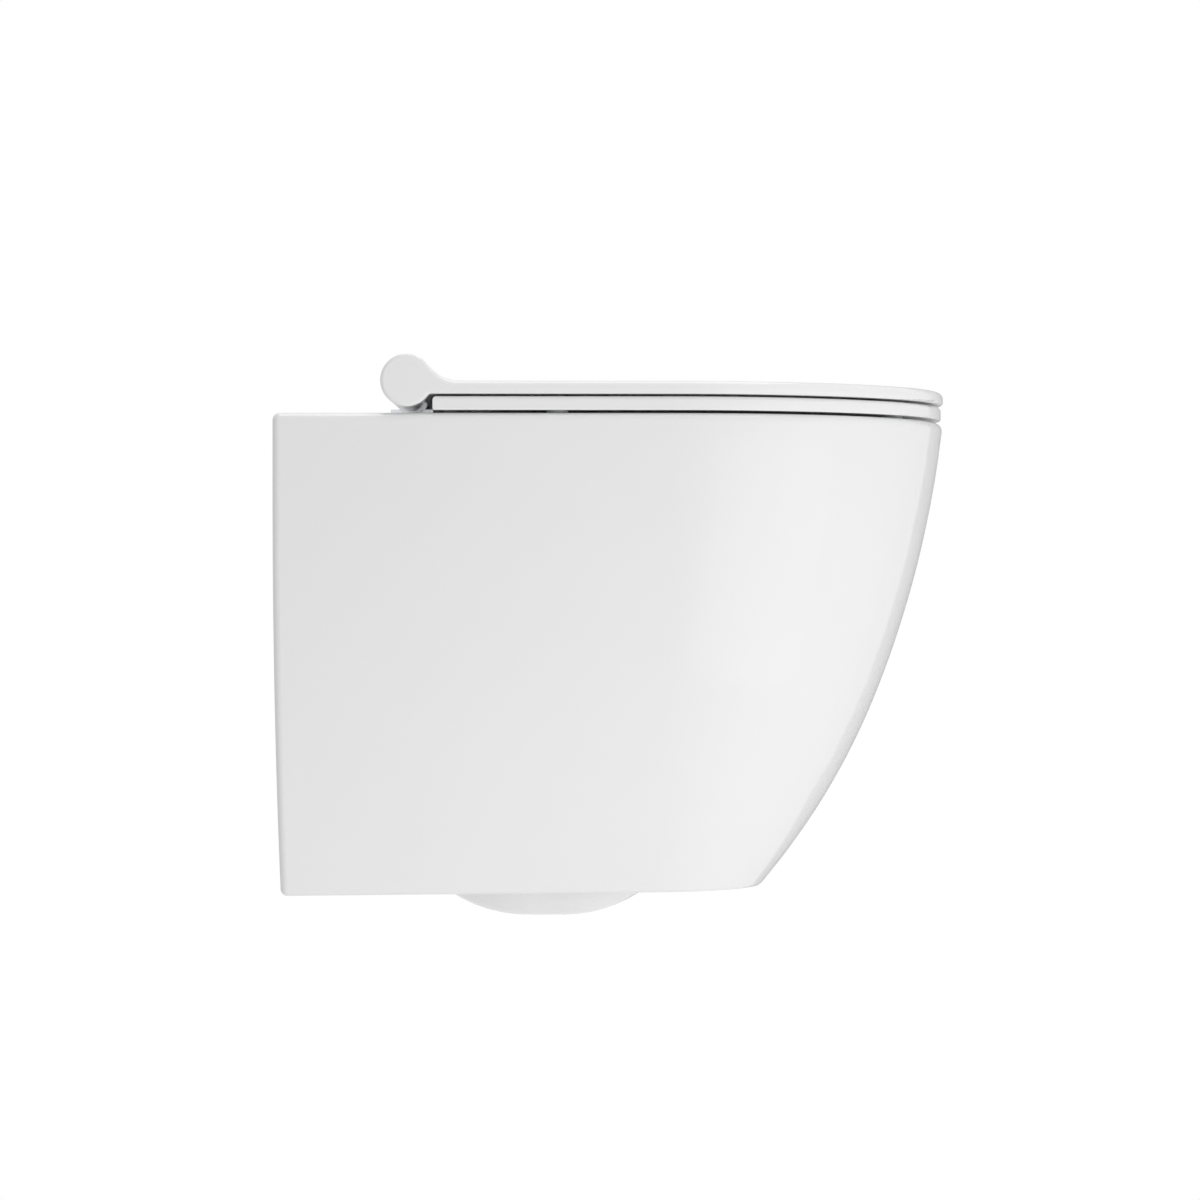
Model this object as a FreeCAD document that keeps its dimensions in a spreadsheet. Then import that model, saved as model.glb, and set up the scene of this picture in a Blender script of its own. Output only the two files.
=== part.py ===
import FreeCAD
import Part
import math
import os
import re
import Sketcher

# Wall hung toilet: a shrouded ceramic pan with an open, rimless bowl and a P-trap, a seat ring and
# a lid that turn on one round hinge roll with soft-close dampers, and the fixings that hold both.
# Frame: millimetres, +Z up, the wall is the plane Y = 0 and the pan reaches towards -Y. The origin
# is midway between the two wall fixing holes. "Forward" below means the distance from the wall,
# "depth" the distance below the rim and "rise" the distance above it.

SIZES = (
    # pan body
    ("rim_height", 85, "top of the rim above the wall fixing holes"),
    ("pan_width", 360, "over the flanks, at the wall"),
    ("pan_reach", 498.9, "wall to the front of the rim"),
    ("skirt_depth", 353.6, "rim to the lower edge of the skirt"),
    ("front_radius", 792, "upper arc of the front profile"),
    ("front_rise", 86, "centre of that arc above the rim"),
    ("front_join", 200, "rim to where the lower arc takes over"),
    ("front_lower_radius", 537, "lower arc of the front profile"),
    ("flank_radius", 682, "arc by which the flanks draw in below"),
    ("flank_straight", 60, "upright part of the flanks below the rim"),
    ("flank_taper", 3, "how far each flank draws in towards the nose"),
    ("nose_centre", 288, "forward place of the nose's centre at the rim"),
    ("nose_shift", 23, "how far that centre moves back at the lower edge"),
    ("nose_radius", 700, "arc by which the nose narrows below"),
    ("rim_rounding", 6, "rounding along the outer edge of the rim"),
    ("skirt_rounding", 5, "rounding of the lower and rear edges"),
    ("skirt_wall", 10, "thickness of the skirt"),
    ("deck_thickness", 14, "thickness of the deck and the rim's land"),
    ("rear_wall", 14, "thickness of the wall plate"),
    ("rear_wall_depth", 118, "rim to the lower edge of the wall plate"),
    # bowl
    ("rim_land", 42, "width of the rim beside the bowl's mouth"),
    ("rim_front_land", 43.9, "width of the rim before the bowl's mouth"),
    ("opening_back", 150, "forward place of the mouth's rear edge"),
    ("opening_rounding", 5, "rounding of the mouth's edge"),
    ("band_depth", 42, "upright band under the mouth"),
    ("ledge", 6, "ledge that guides the water, below the band"),
    ("bowl_wall", 10, "thickness of the bowl"),
    ("widest_share", 0.46, "where the bowl is widest, as a share of its length"),
    ("throat_depth", 262, "rim to the throat of the bowl"),
    # trap and outlet
    ("trap_bore", 40, "radius of the trap's passage"),
    ("trap_wall", 12, "thickness of the trap"),
    ("trap_depth", 377, "rim to the lowest point of the trap"),
    ("trap_centre", 194, "forward place of the trap's lowest point"),
    ("trap_flat", 28, "straight run at the bottom of the trap"),
    ("bend_radius", 55, "centreline radius of the trap's bends"),
    ("outlet_drop", 100, "outlet centre below the fixing holes"),
    ("spigot_radius", 51, "outside of the outlet spigot"),
    ("spigot_setback", 8, "wall to the end of the spigot"),
    ("spigot_length", 52, "cylindrical length of the spigot"),
    # flush inlet
    ("inlet_radius", 27.5, "bore of the flush inlet"),
    ("inlet_rise", 35, "inlet centre above the fixing holes"),
    ("inlet_depth", 46, "depth of the inlet bore"),
    ("inlet_wall", 9.5, "thickness round the inlet bore"),
    ("duct_width", 60, "width of the duct to the bowl"),
    ("duct_height", 24, "height of the duct to the bowl"),
    ("duct_wall", 8, "thickness round the duct"),
    # wall fixings
    ("bolt_spacing", 180, "between the wall fixing holes"),
    ("boss_radius", 24, "thickening round each fixing hole"),
    ("boss_length", 24, "wall to the inner face of the thickening"),
    ("bush_radius", 11, "outside of the nylon bush"),
    ("bush_bore", 6.3, "bore of the bush, for a 12 mm stud"),
    ("bush_flange_radius", 17, "flange of the bush"),
    ("bush_flange", 3, "thickness of that flange"),
    ("wall_washer_radius", 15, "steel washer under the nut"),
    ("wall_washer_thickness", 2.5, "thickness of that washer"),
    ("wall_nut_flats", 19, "across the flats of the nut"),
    ("wall_nut_height", 10, "height of the nut"),
    ("wall_nut_bore", 6.1, "bore of the nut"),
    # seat ring and lid
    ("seat_gap", 1.9, "rim to the underside of the ring"),
    ("ring_thickness", 10, "thickness of the seat ring"),
    ("ring_inset", 1.5, "ring inside the pan's outline"),
    ("ring_back", 115.4, "forward place of the ring's rear edge"),
    ("ring_land", 60, "width of the ring beside its hole"),
    ("ring_front_land", 59.8, "width of the ring before its hole"),
    ("hole_back", 152, "forward place of the hole's rear edge"),
    ("hole_rounding", 4, "rounding of the hole's upper edge"),
    ("ring_rounding", 3, "rounding of the ring's upper outer edge"),
    ("lid_gap", 1.6, "ring to the underside of the lid"),
    ("lid_thickness", 9.7, "thickness of the lid"),
    ("lid_overhang", 0.2, "lid beyond the rim in front"),
    ("lid_rounding", 5, "rounding of the lid's upper edge"),
    ("lid_lower_rounding", 2.5, "rounding of the lid's lower edge and of the roll's ends"),
    ("lid_border", 42, "flat border on the lid's underside"),
    ("lid_panel_back", 140, "forward place of the rear edge of the panel inside it"),
    ("lid_panel_depth", 3.5, "how far that panel is set into the underside"),
    ("lid_panel_corner", 25, "corners of the panel"),
    ("lid_panel_rounding", 3, "rounding round the panel's ceiling"),
    ("lower_rounding", 1.2, "rounding of the lower edges of the ring"),
    # hinge
    ("hinge_forward", 96.6, "wall to the hinge axis"),
    ("hinge_rise", 23.4, "hinge axis above the rim"),
    ("hinge_spacing", 155, "between the seat fixing holes"),
    ("knuckle_radius", 19, "radius of the hinge roll"),
    ("roll_blend", 28, "hollow curve from the roll to the lid"),
    ("roll_fillet", 3, "fillet under the roll"),
    ("post_width", 22, "width of each hinge post"),
    ("knuckle_gap", 1, "gap between neighbouring knuckles"),
    ("centre_knuckle", 50, "width of the lid's middle knuckle"),
    ("notch_clearance", 0.8, "gap round the posts and the ring's knuckles"),
    ("foot_front", 16.4, "post foot forward of the axis"),
    ("foot_back", 16.6, "post foot behind the axis"),
    ("foot_height", 3.8, "height of the post foot"),
    ("foot_rounding", 1.5, "rounding of the post foot"),
    ("pin_radius", 5, "hinge pin"),
    ("pin_in_ring", 20, "length of the pin inside the ring's knuckle"),
    ("pin_in_lid", 24, "length of the pin inside the lid's knuckle"),
    ("running_gap", 0.08, "radial clearance of what turns"),
    ("press_gap", 0.04, "radial clearance of what is pressed in"),
    ("end_gap", 0.5, "clearance at the ends of what turns"),
    ("damper_radius", 14, "soft-close damper housing"),
    ("damper_wall", 4.5, "wall of the damper housing"),
    ("damper_end", 2.5, "closed end of the damper housing"),
    ("lid_damper_length", 58, "housing of the lid's damper"),
    ("ring_damper_length", 34, "housing of the ring's damper"),
    ("pivot_bush_radius", 10, "outside of the plain bushes"),
    ("pivot_bush_length", 26, "length of the plain bushes"),
    ("grub_radius", 2.5, "grub screw that locks the pin"),
    ("grub_sink", 0.6, "grub screw below the post's surface"),
    # seat fixings
    ("seat_hole_radius", 8, "seat fixing holes in the deck"),
    ("gasket_thickness", 0.8, "gasket under each rosette"),
    ("gasket_radius", 15.5, "outside of the gasket"),
    ("rosette_radius", 16.5, "outside of the rosette"),
    ("rosette_thickness", 2.2, "thickness of the rosette"),
    ("stud_radius", 4, "stud under each post"),
    ("stud_in_post", 11, "length of the stud inside the post"),
    ("stud_tail", 12, "stud left below the wing nut"),
    ("stud_gap", 0.2, "clearance round the stud"),
    ("cone_tip_radius", 6.5, "top of the rubber cone"),
    ("cone_in_hole", 8, "height of the cone inside the deck"),
    ("cone_flange_radius", 14, "flange of the rubber cone"),
    ("cone_flange", 4, "thickness of that flange"),
    ("stud_washer_radius", 13, "washer on the stud"),
    ("stud_washer_thickness", 2, "thickness of that washer"),
    ("wing_hub_radius", 9, "hub of the wing nut"),
    ("wing_hub_height", 14, "height of that hub"),
    ("wing_span", 44, "over the wings of the nut"),
    ("wing_thickness", 4.5, "thickness of each wing"),
    ("wing_tip", 4.7, "height of the wings at their ends"),
    ("wing_root", 12.6, "height of the wings at the hub"),
    # buffers
    ("buffer_seat", 0.2, "buffer above what it rests on"),
    ("ring_buffer_radius", 8, "buffers under the ring"),
    ("lid_buffer_radius", 6, "buffers under the lid"),
    ("buffer_pocket", 4, "depth of each buffer's pocket"),
    ("rear_buffer_forward", 205, "wall to the rear buffers"),
    ("front_buffer_turn", 62, "degrees of the front buffers round the nose"),
    # building
    ("end_tightness", 0.75, "tip radius lost for each millimetre that an oval end is longer"),
    ("overrun", 1, "how far a cutting solid runs past what it cuts"),
)

# Places that follow from the sizes above.
WORKED_OUT = {
    "nose_width": "(pan_width - 2 * flank_taper)",
    "opening_width": "(pan_width - 2 * rim_land)",
    "opening_front": "(pan_reach - rim_front_land)",
    "ring_width": "(pan_width - 2 * ring_inset)",
    "ring_reach": "(pan_reach - ring_inset)",
    "hole_width": "(ring_width - 2 * ring_land)",
    "hole_front": "(ring_reach - ring_front_land)",
    "lid_width": "pan_width",
    "lid_reach": "(pan_reach + lid_overhang)",
    "front_leg": "(trap_centre + trap_flat / 2 + bend_radius)",
    "rear_leg": "(trap_centre - trap_flat / 2 - bend_radius)",
    "spigot_end": "(spigot_setback + spigot_length)",
    "ring_low": "(rim_height + seat_gap)",
    "lid_low": "(rim_height + seat_gap + ring_thickness + lid_gap)",
    "arm_lift": "(hinge_rise - knuckle_radius - seat_gap)",
    "ring_knuckle_in": "(centre_knuckle / 2 + knuckle_gap)",
    "ring_knuckle_out": "(hinge_spacing / 2 - post_width / 2 - knuckle_gap)",
    "lid_knuckle_in": "(hinge_spacing / 2 + post_width / 2 + knuckle_gap)",
    "stud_top": "(rim_height + gasket_thickness + rosette_thickness + stud_in_post)",
    "cone_low": "(rim_height - deck_thickness - cone_flange)",
    "wing_low": "(cone_low - stud_washer_thickness - wing_hub_height)",
    "stud_bottom": "(wing_low - stud_tail)",
    "wall_nut_forward": "(boss_length + bush_flange + wall_washer_thickness)",
}

SKIRT_LEVELS = 7      # plan outlines in each loft of the skirt
BOWL_LEVELS = 6       # plan outlines in each loft of the bowl
CLOSE = 0.01          # millimetres within which two places count as the same
ALONG_X = FreeCAD.Rotation(FreeCAD.Vector(0, 1, 0), 90)
FORWARD = FreeCAD.Rotation(FreeCAD.Vector(1, 0, 0), 90)
UPRIGHT = FreeCAD.Rotation()
SIDES = (("right", 1), ("left", -1))
SIZE_NAMES = re.compile(r"\b(" + "|".join(entry[0] for entry in SIZES) + r")\b")
PLACE_NAMES = re.compile(r"\b(" + "|".join(WORKED_OUT) + r")\b")

doc = FreeCAD.newDocument("WallHungToilet")
finished = []


# ---------------------------------------------------------------- sheet and links

def fill_sheet():
    """Write the driving dimensions into a sheet, one named cell each."""
    sheet = doc.addObject("Spreadsheet::Sheet", "Sizes")
    for row, (alias, value, note) in enumerate(SIZES, start=1):
        sheet.set("A%d" % row, alias)
        sheet.set("B%d" % row, str(value))
        sheet.set("C%d" % row, note)
        sheet.setAlias("B%d" % row, alias)
    doc.recompute()
    return sheet


sheet = fill_sheet()


def linked(formula):
    """Turn the names in a formula into references to the sheet's cells."""
    spelled = str(formula)
    while PLACE_NAMES.search(spelled):
        spelled = PLACE_NAMES.sub(lambda found: WORKED_OUT[found.group()], spelled)
    return SIZE_NAMES.sub(r"Sizes.\1", spelled)


def size(formula):
    """The present value of a formula of sheet names."""
    return float(sheet.evalExpression(linked(formula)))


def bind(thing, **formulas):
    """Tie properties of an object to formulas of sheet names."""
    for name, formula in formulas.items():
        thing.setExpression(name, linked(formula))
    return thing


def place(thing, rotation=UPRIGHT, side="0", forward="0", up="0"):
    """Turn an object and tie its place to formulas: sideways, from the wall and up."""
    thing.Placement = FreeCAD.Placement(FreeCAD.Vector(), rotation)
    thing.setExpression("Placement.Base.x", linked(side))
    thing.setExpression("Placement.Base.y", linked("-(%s)" % forward))
    thing.setExpression("Placement.Base.z", linked(up))
    return thing


def finish(thing, label):
    """Give a finished piece its name and list it for writing."""
    thing.Label = label
    finished.append(thing)
    return thing


# ---------------------------------------------------------------- solids and booleans

def cylinder(name, radius, length, rotation=UPRIGHT, **where):
    rod = doc.addObject("Part::Cylinder", name)
    bind(rod, Radius=radius, Height=length)
    return place(rod, rotation, **where)


def block(name, width, deep, tall, side, forward, up):
    """A box centred sideways on side, from forward towards the front and from up upwards."""
    box = doc.addObject("Part::Box", name)
    bind(box, Length=width, Width=deep, Height=tall)
    corner = "(%s) - (%s) / 2" % (side, width)
    return place(box, side=corner, forward="(%s) + (%s)" % (forward, deep), up=up)


def fuse(name, *shapes):
    joined = doc.addObject("Part::MultiFuse", name)
    joined.Shapes = list(shapes)
    return joined


def common(name, *shapes):
    shared = doc.addObject("Part::MultiCommon", name)
    shared.Shapes = list(shapes)
    return shared


def cut(name, base, *tools):
    left = doc.addObject("Part::Cut", name)
    left.Base = base
    left.Tool = tools[0] if len(tools) == 1 else fuse(name + "Tools", *tools)
    return left


def mirrored(name, source):
    """The same solid on the other side of the middle plane."""
    twin = doc.addObject("Part::Mirroring", name)
    twin.Source = source
    twin.Normal = FreeCAD.Vector(1, 0, 0)
    return twin


def group(name, *members):
    pieces = doc.addObject("Part::Compound", name)
    pieces.Links = list(members)
    return pieces


def loft(name, sections):
    skin = doc.addObject("Part::Loft", name)
    skin.Sections = sections
    skin.Solid = True
    return skin


def wire(name, shape):
    outline = doc.addObject("Part::Feature", name)
    outline.Shape = shape
    return outline


def raised(name, outline, height):
    """A solid that stands on an outline."""
    solid = doc.addObject("Part::Extrusion", name)
    solid.Base = outline
    solid.DirMode = "Custom"
    solid.Dir = FreeCAD.Vector(0, 0, 1)
    solid.Solid = True
    return bind(solid, LengthFwd=height)


def rounded(name, base, *picks):
    """Round the edges that each test picks, each with its own radius."""
    doc.recompute()
    edges = []
    for index, edge in enumerate(base.Shape.Edges, start=1):
        radius = next((size(radius) for test, radius in picks if test(edge)), None)
        if radius:
            edges.append((index, radius, radius))
    fillet = doc.addObject("Part::Fillet", name)
    fillet.Base = base
    fillet.Edges = edges
    return fillet


def samples(edge, count=5):
    """Points spread along an edge."""
    first, last = edge.ParameterRange
    return [edge.valueAt(first + (last - first) * step / (count - 1)) for step in range(count)]


def lies_at(edge, up):
    """True for an edge that lies flat at a height."""
    return all(abs(point.z - up) < CLOSE for point in samples(edge))


def is_upright(edge):
    """True for a straight upright edge."""
    return max(edge.BoundBox.XLength, edge.BoundBox.YLength) < CLOSE


# ---------------------------------------------------------------- sketched bodies

def new_body(name):
    return doc.addObject("PartDesign::Body", name)


def sketch_on(body, name, role):
    """A sketch on one of the body's own origin planes."""
    plane = next(item for item in body.Origin.OriginFeatures if item.Role == role)
    sketch = body.newObject("Sketcher::SketchObject", name)
    sketch.AttachmentSupport = [(plane, "")]
    sketch.MapMode = "FlatFace"
    return sketch


def hold(sketch, kind, formula, *where):
    """Add a dimension to a sketch and tie it to a formula."""
    value = size(formula)
    index = sketch.addConstraint(Sketcher.Constraint(kind, *where, value))
    sketch.setExpression("Constraints[%d]" % index, linked(formula))


def hold_point(sketch, geometry, point, across, up):
    """Fix a sketch point by its distances from the sketch's axes."""
    for kind, axis, formula in (("DistanceX", -2, across), ("DistanceY", -1, up)):
        if formula == "0":
            sketch.addConstraint(Sketcher.Constraint("PointOnObject", geometry, point, axis))
        else:
            hold(sketch, kind, formula, -1, 1, geometry, point)


def draw_outline(sketch, corners):
    """Draw a closed outline of straight lines through corners given as formulas."""
    points = [FreeCAD.Vector(size(across), size(up), 0) for across, up in corners]
    count = len(points)
    for index, point in enumerate(points):
        sketch.addGeometry(Part.LineSegment(point, points[(index + 1) % count]), False)
    for index in range(count):
        sketch.addConstraint(
            Sketcher.Constraint("Coincident", index, 2, (index + 1) % count, 1))
    for index, (across, up) in enumerate(corners):
        hold_point(sketch, index, 1, across, up)


def draw_circle(sketch, radius, across="0", up="0"):
    centre = FreeCAD.Vector(size(across), size(up), 0)
    index = sketch.addGeometry(
        Part.Circle(centre, FreeCAD.Vector(0, 0, 1), size(radius)), False)
    if (across, up) == ("0", "0"):
        sketch.addConstraint(Sketcher.Constraint("Coincident", index, 3, -1, 1))
    else:
        hold_point(sketch, index, 3, across, up)
    hold(sketch, "Radius", radius, index)


def turned(name, corners):
    """A body turned about its own Z axis from an outline of radii and heights."""
    body = new_body(name)
    sketch = sketch_on(body, name + "Profile", "XZ_Plane")
    draw_outline(sketch, corners)
    turn = body.newObject("PartDesign::Revolution", name + "Turn")
    turn.Profile = sketch
    turn.ReferenceAxis = (sketch, ["V_Axis"])
    turn.Angle = 360
    sketch.Visibility = False
    return body


def add_pad(body, sketch, length, midplane=False):
    pad = body.newObject("PartDesign::Pad", sketch.Name + "Pad")
    pad.Profile = sketch
    pad.Midplane = midplane
    return bind(pad, Length=length)


def add_pocket(body, sketch, through=True):
    pocket = body.newObject("PartDesign::Pocket", sketch.Name + "Pocket")
    pocket.Profile = sketch
    pocket.Midplane = through
    pocket.Type = "ThroughAll"
    return pocket


# ---------------------------------------------------------------- plan outlines

def shield_wire(up, half_width, reach, half_nose, centre, back):
    """A plan outline: straight back, two straight flanks and an elliptical nose they run into."""
    half_length = reach - centre
    across = half_width / half_nose
    along = (back - centre) / half_length
    turn = math.atan2(along, across) + math.acos(1 / math.hypot(across, along))
    end = FreeCAD.Vector(half_nose * math.cos(turn), -centre - half_length * math.sin(turn), up)
    tip = FreeCAD.Vector(0, -reach, up)
    middle = FreeCAD.Vector(0, -centre, up)
    side = FreeCAD.Vector(half_nose, -centre, up)
    if half_length >= half_nose:
        ellipse = Part.Ellipse(tip, side, middle)
    else:
        ellipse = Part.Ellipse(side, tip, middle)
    far_end = FreeCAD.Vector(-end.x, end.y, up)
    angles = (ellipse.parameter(end), ellipse.parameter(far_end))
    nose = Part.ArcOfEllipse(ellipse, *angles)
    halfway = nose.value((nose.FirstParameter + nose.LastParameter) / 2)
    if halfway.y > -centre:
        nose = Part.ArcOfEllipse(ellipse, angles[1], angles[0])
    corner = FreeCAD.Vector(half_width, -back, up)
    far_corner = FreeCAD.Vector(-half_width, -back, up)
    edges = [
        Part.makeLine(far_corner, corner),
        Part.makeLine(corner, end),
        nose.toShape(),
        Part.makeLine(far_end, far_corner),
    ]
    return Part.Wire(Part.__sortEdges__(edges))


def oval_radii(half_width, length):
    """Radii of an oval end's tip and sides, and the angle at which they meet."""
    tip = half_width - size("end_tightness") * (length - half_width)
    side = (half_width ** 2 + length ** 2 - 2 * length * tip) / (2 * (half_width - tip))
    return tip, side, math.atan2(abs(length - tip), abs(side - half_width))


def oval_end(up, half_width, centre, tip, start=0.0):
    """Three arcs in line round an oval end, from an angle past where it is widest."""
    toward = math.copysign(1, tip - centre)
    tip_radius, side_radius, join = oval_radii(half_width, abs(tip - centre))

    def at(angle, sign):
        across = half_width - side_radius * (1 - math.cos(angle))
        forward = centre + toward * side_radius * math.sin(angle)
        return FreeCAD.Vector(sign * across, -forward, up)

    arcs = [Part.Arc(at(join, 1), FreeCAD.Vector(0, -tip, up), at(join, -1))]
    for word, sign in SIDES:
        arcs.append(Part.Arc(at(start, sign), at((start + join) / 2, sign), at(join, sign)))
    return [arc.toShape() for arc in arcs], at(start, 1)


def oval_wire(up, half_width, back, front):
    """A plan outline of two oval ends that meet where it is widest."""
    centre = back + size("widest_share") * (front - back)
    edges = []
    for tip in (back, front):
        arcs, start = oval_end(up, half_width, centre, tip)
        edges += arcs
    return Part.Wire(Part.__sortEdges__(edges))


def seat_wire(up, half_width, reach, half_nose, centre, back):
    """A plan outline with a straight back, two straight flanks and an oval nose."""
    tip, side, join = oval_radii(half_nose, reach - centre)
    across = half_width - half_nose + side
    along = back - centre
    start = math.atan2(along, across) + math.acos(side / math.hypot(across, along))
    arcs, end = oval_end(up, half_nose, centre, reach, start)
    corners = [FreeCAD.Vector(sign * half_width, -back, up) for word, sign in SIDES]
    edges = [Part.makeLine(*corners), Part.makeLine(corners[0], end),
             Part.makeLine(corners[1], FreeCAD.Vector(-end.x, end.y, up))]
    return Part.Wire(Part.__sortEdges__(edges + arcs))


def egg_wire(up, half_width, back, front):
    """A plan outline of two half ellipses that meet where it is widest."""
    centre = back + size("widest_share") * (front - back)
    middle = FreeCAD.Vector(0, -centre, up)
    side = FreeCAD.Vector(half_width, -centre, up)
    halves = []
    for end, reverse in ((-front, False), (-back, True)):
        tip = FreeCAD.Vector(0, end, up)
        far_side = FreeCAD.Vector(-half_width, -centre, up)
        if abs(tip.y - middle.y) >= half_width:
            ellipse = Part.Ellipse(tip, side, middle)
        else:
            ellipse = Part.Ellipse(side, tip, middle)
        angles = (ellipse.parameter(side), ellipse.parameter(far_side))
        half = Part.ArcOfEllipse(ellipse, *angles)
        halfway = half.value((half.FirstParameter + half.LastParameter) / 2)
        if halfway.distanceToPoint(tip) > half_width / 2:
            half = Part.ArcOfEllipse(ellipse, angles[1], angles[0])
        halves.append(half.toShape())
    return Part.Wire(Part.__sortEdges__(halves))


def drawn_in(radius, distance):
    """How far an arc has moved sideways after a distance along its first tangent."""
    return radius - math.sqrt(radius ** 2 - distance ** 2)


def front_setback(depth):
    """How far the front profile, two arcs in line, lies behind the rim's front at a depth."""
    radius = size("front_radius")
    lower = size("front_lower_radius")
    rise = size("front_rise")
    join = size("front_join")
    upper_end = min(depth, join) + rise
    setback = drawn_in(radius, upper_end) - drawn_in(radius, rise)
    if depth > join:
        start = lower * upper_end / radius
        setback += drawn_in(lower, start + depth - join) - drawn_in(lower, start)
    return setback


def skirt_wire(depth, inset, back):
    """The pan's outline at a depth below the rim, moved inwards by an inset."""
    share = depth / size("skirt_depth")
    reach = size("pan_reach") - front_setback(depth)
    beyond = max(0, depth - size("flank_straight"))
    half_width = size("pan_width / 2") - drawn_in(size("flank_radius"), beyond)
    half_nose = size("nose_width / 2") - drawn_in(size("nose_radius"), depth)
    centre = size("nose_centre") - size("nose_shift") * share
    up = size("rim_height") - depth
    return shield_wire(up, half_width - inset, reach - inset, half_nose - inset, centre, back)


def skirt_loft(name, first, last, inset, back):
    """A solid with the pan's outline between two depths."""
    sections = []
    for level in range(SKIRT_LEVELS):
        depth = first + (last - first) * level / (SKIRT_LEVELS - 1)
        sections.append(wire("%s%d" % (name, level), skirt_wire(depth, inset, back)))
    return loft(name, sections)


# ---------------------------------------------------------------- ceramic pan

def pan_shell():
    """The outer body with its hollow underside and its upright wall plate."""
    rim = size("rim_height")
    foot = size("rim_height - skirt_depth")
    long_form = skirt_loft("PanLongForm", 0, size("skirt_depth"), 0, -size("overrun"))
    behind = block("BehindWall", "pan_width + 2 * overrun", "2 * overrun",
                   "skirt_depth + 2 * overrun", "0", "-2 * overrun",
                   "rim_height - skirt_depth - overrun")
    block_form = cut("PanForm", long_form, behind)

    def on_rim(edge):
        return lies_at(edge, rim)

    def on_foot(edge):
        return lies_at(edge, foot)

    def on_wall(edge):
        return all(abs(point.y) < CLOSE for point in samples(edge))

    outer = rounded("PanOuter", block_form, (on_wall, "skirt_rounding"),
                    (on_rim, "rim_rounding"), (on_foot, "skirt_rounding"))
    hollow = skirt_loft("PanHollow", size("deck_thickness"), size("skirt_depth + overrun"),
                        size("skirt_wall"), -size("overrun"))
    skirt = cut("PanSkirt", outer, hollow)
    slab = block("WallPlateSlab", "pan_width", "rear_wall", "rear_wall_depth",
                 "0", "0", "rim_height - rear_wall_depth")
    plate = common("WallPlate", outer, slab)
    return skirt, plate


def bowl_section(name, share, offset, sink):
    """An outline of the bowl at a share of the way from the ledge to the throat."""
    closing = share ** 2
    ledge = size("ledge")
    back = size("opening_back") + ledge
    front = size("opening_front") - ledge
    half_width = size("opening_width / 2") - ledge
    bore = size("trap_bore")
    throat = size("front_leg")
    depth = size("band_depth") + share * size("throat_depth - band_depth") + sink
    outline = egg_wire(
        size("rim_height") - depth,
        half_width + (bore - half_width) * closing + offset,
        back + (throat - bore - back) * closing - offset,
        front + (throat + bore - front) * closing + offset)
    return wire(name, outline)


def bowl_loft(name, offset, sink):
    sections = []
    for level in range(BOWL_LEVELS):
        share = level / (BOWL_LEVELS - 1)
        sections.append(bowl_section("%s%d" % (name, level), share, offset, sink * share))
    return loft(name, sections)


def mouth_prism(name, offset, top, bottom):
    """An upright solid under the bowl's mouth, between two depths."""
    outline = oval_wire(size("rim_height") - bottom, size("opening_width / 2") + offset,
                        size("opening_back") - offset, size("opening_front") + offset)
    return raised(name, wire(name + "Outline", outline), str(bottom - top))


def trap_path(name, start_depth, end_forward):
    """The trap's centreline: down, round the bottom, up and out to the wall."""
    bend = size("bend_radius")
    front_leg = size("front_leg")
    rear_leg = size("rear_leg")
    outlet = size("rim_height + outlet_drop")
    low = size("trap_depth - trap_wall - trap_bore")
    slant = bend * math.sqrt(0.5)

    def at(forward, depth):
        return FreeCAD.Vector(0, -forward, size("rim_height") - depth)

    def arc(first, centre_forward, centre_depth, toward_forward, toward_depth, last):
        middle = at(centre_forward + toward_forward * slant, centre_depth + toward_depth * slant)
        return Part.Arc(first, middle, last).toShape()

    top = at(front_leg, start_depth)
    down = at(front_leg, low - bend)
    floor_front = at(front_leg - bend, low)
    floor_rear = at(rear_leg + bend, low)
    rise_start = at(rear_leg, low - bend)
    rise_end = at(rear_leg, outlet + bend)
    out_start = at(rear_leg - bend, outlet)
    out_end = at(end_forward, outlet)
    edges = [
        Part.makeLine(top, down),
        arc(down, front_leg - bend, low - bend, 1, 1, floor_front),
        Part.makeLine(floor_front, floor_rear),
        arc(floor_rear, rear_leg + bend, low - bend, -1, 1, rise_start),
        Part.makeLine(rise_start, rise_end),
        arc(rise_end, rear_leg - bend, outlet + bend, 1, -1, out_start),
        Part.makeLine(out_start, out_end),
    ]
    return wire(name, Part.Wire(edges))


def trap_tube(name, radius, start_depth, end_forward):
    path = trap_path(name + "Path", start_depth, end_forward)
    ring = doc.addObject("Part::Circle", name + "Ring")
    bind(ring, Radius=radius)
    place(ring, forward="front_leg", up="rim_height - %s" % start_depth)
    tube = doc.addObject("Part::Sweep", name)
    tube.Sections = [ring]
    tube.Spine = (path, ["Edge%d" % (index + 1) for index in range(len(path.Shape.Edges))])
    tube.Solid = True
    tube.Frenet = False
    return tube


def flush_channel():
    """Solids round the flush inlet and its duct, and the passages through them."""
    up = "inlet_rise"
    tube = cylinder("InletTube", "inlet_radius + inlet_wall", "inlet_depth + duct_wall",
                    FORWARD, forward="rear_wall / 2", up=up)
    bore = cylinder("InletBore", "inlet_radius", "inlet_depth + overrun", FORWARD,
                    forward="-overrun", up=up)
    low = "inlet_rise - duct_height / 2"
    casing = block("DuctCasing", "duct_width + 2 * duct_wall",
                   "opening_back - inlet_depth + duct_wall", "duct_height + 2 * duct_wall",
                   "0", "inlet_depth - duct_wall", "%s - duct_wall" % low)
    passage = block("DuctPassage", "duct_width", "opening_back - inlet_depth + 2 * duct_wall",
                    "duct_height", "0", "inlet_depth - overrun", low)
    return tube, casing, bore, passage


def wall_hole(name, radius, length):
    """A rod along one wall fixing hole."""
    return cylinder(name, radius, length, FORWARD, side="bolt_spacing / 2", forward="-overrun")


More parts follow.
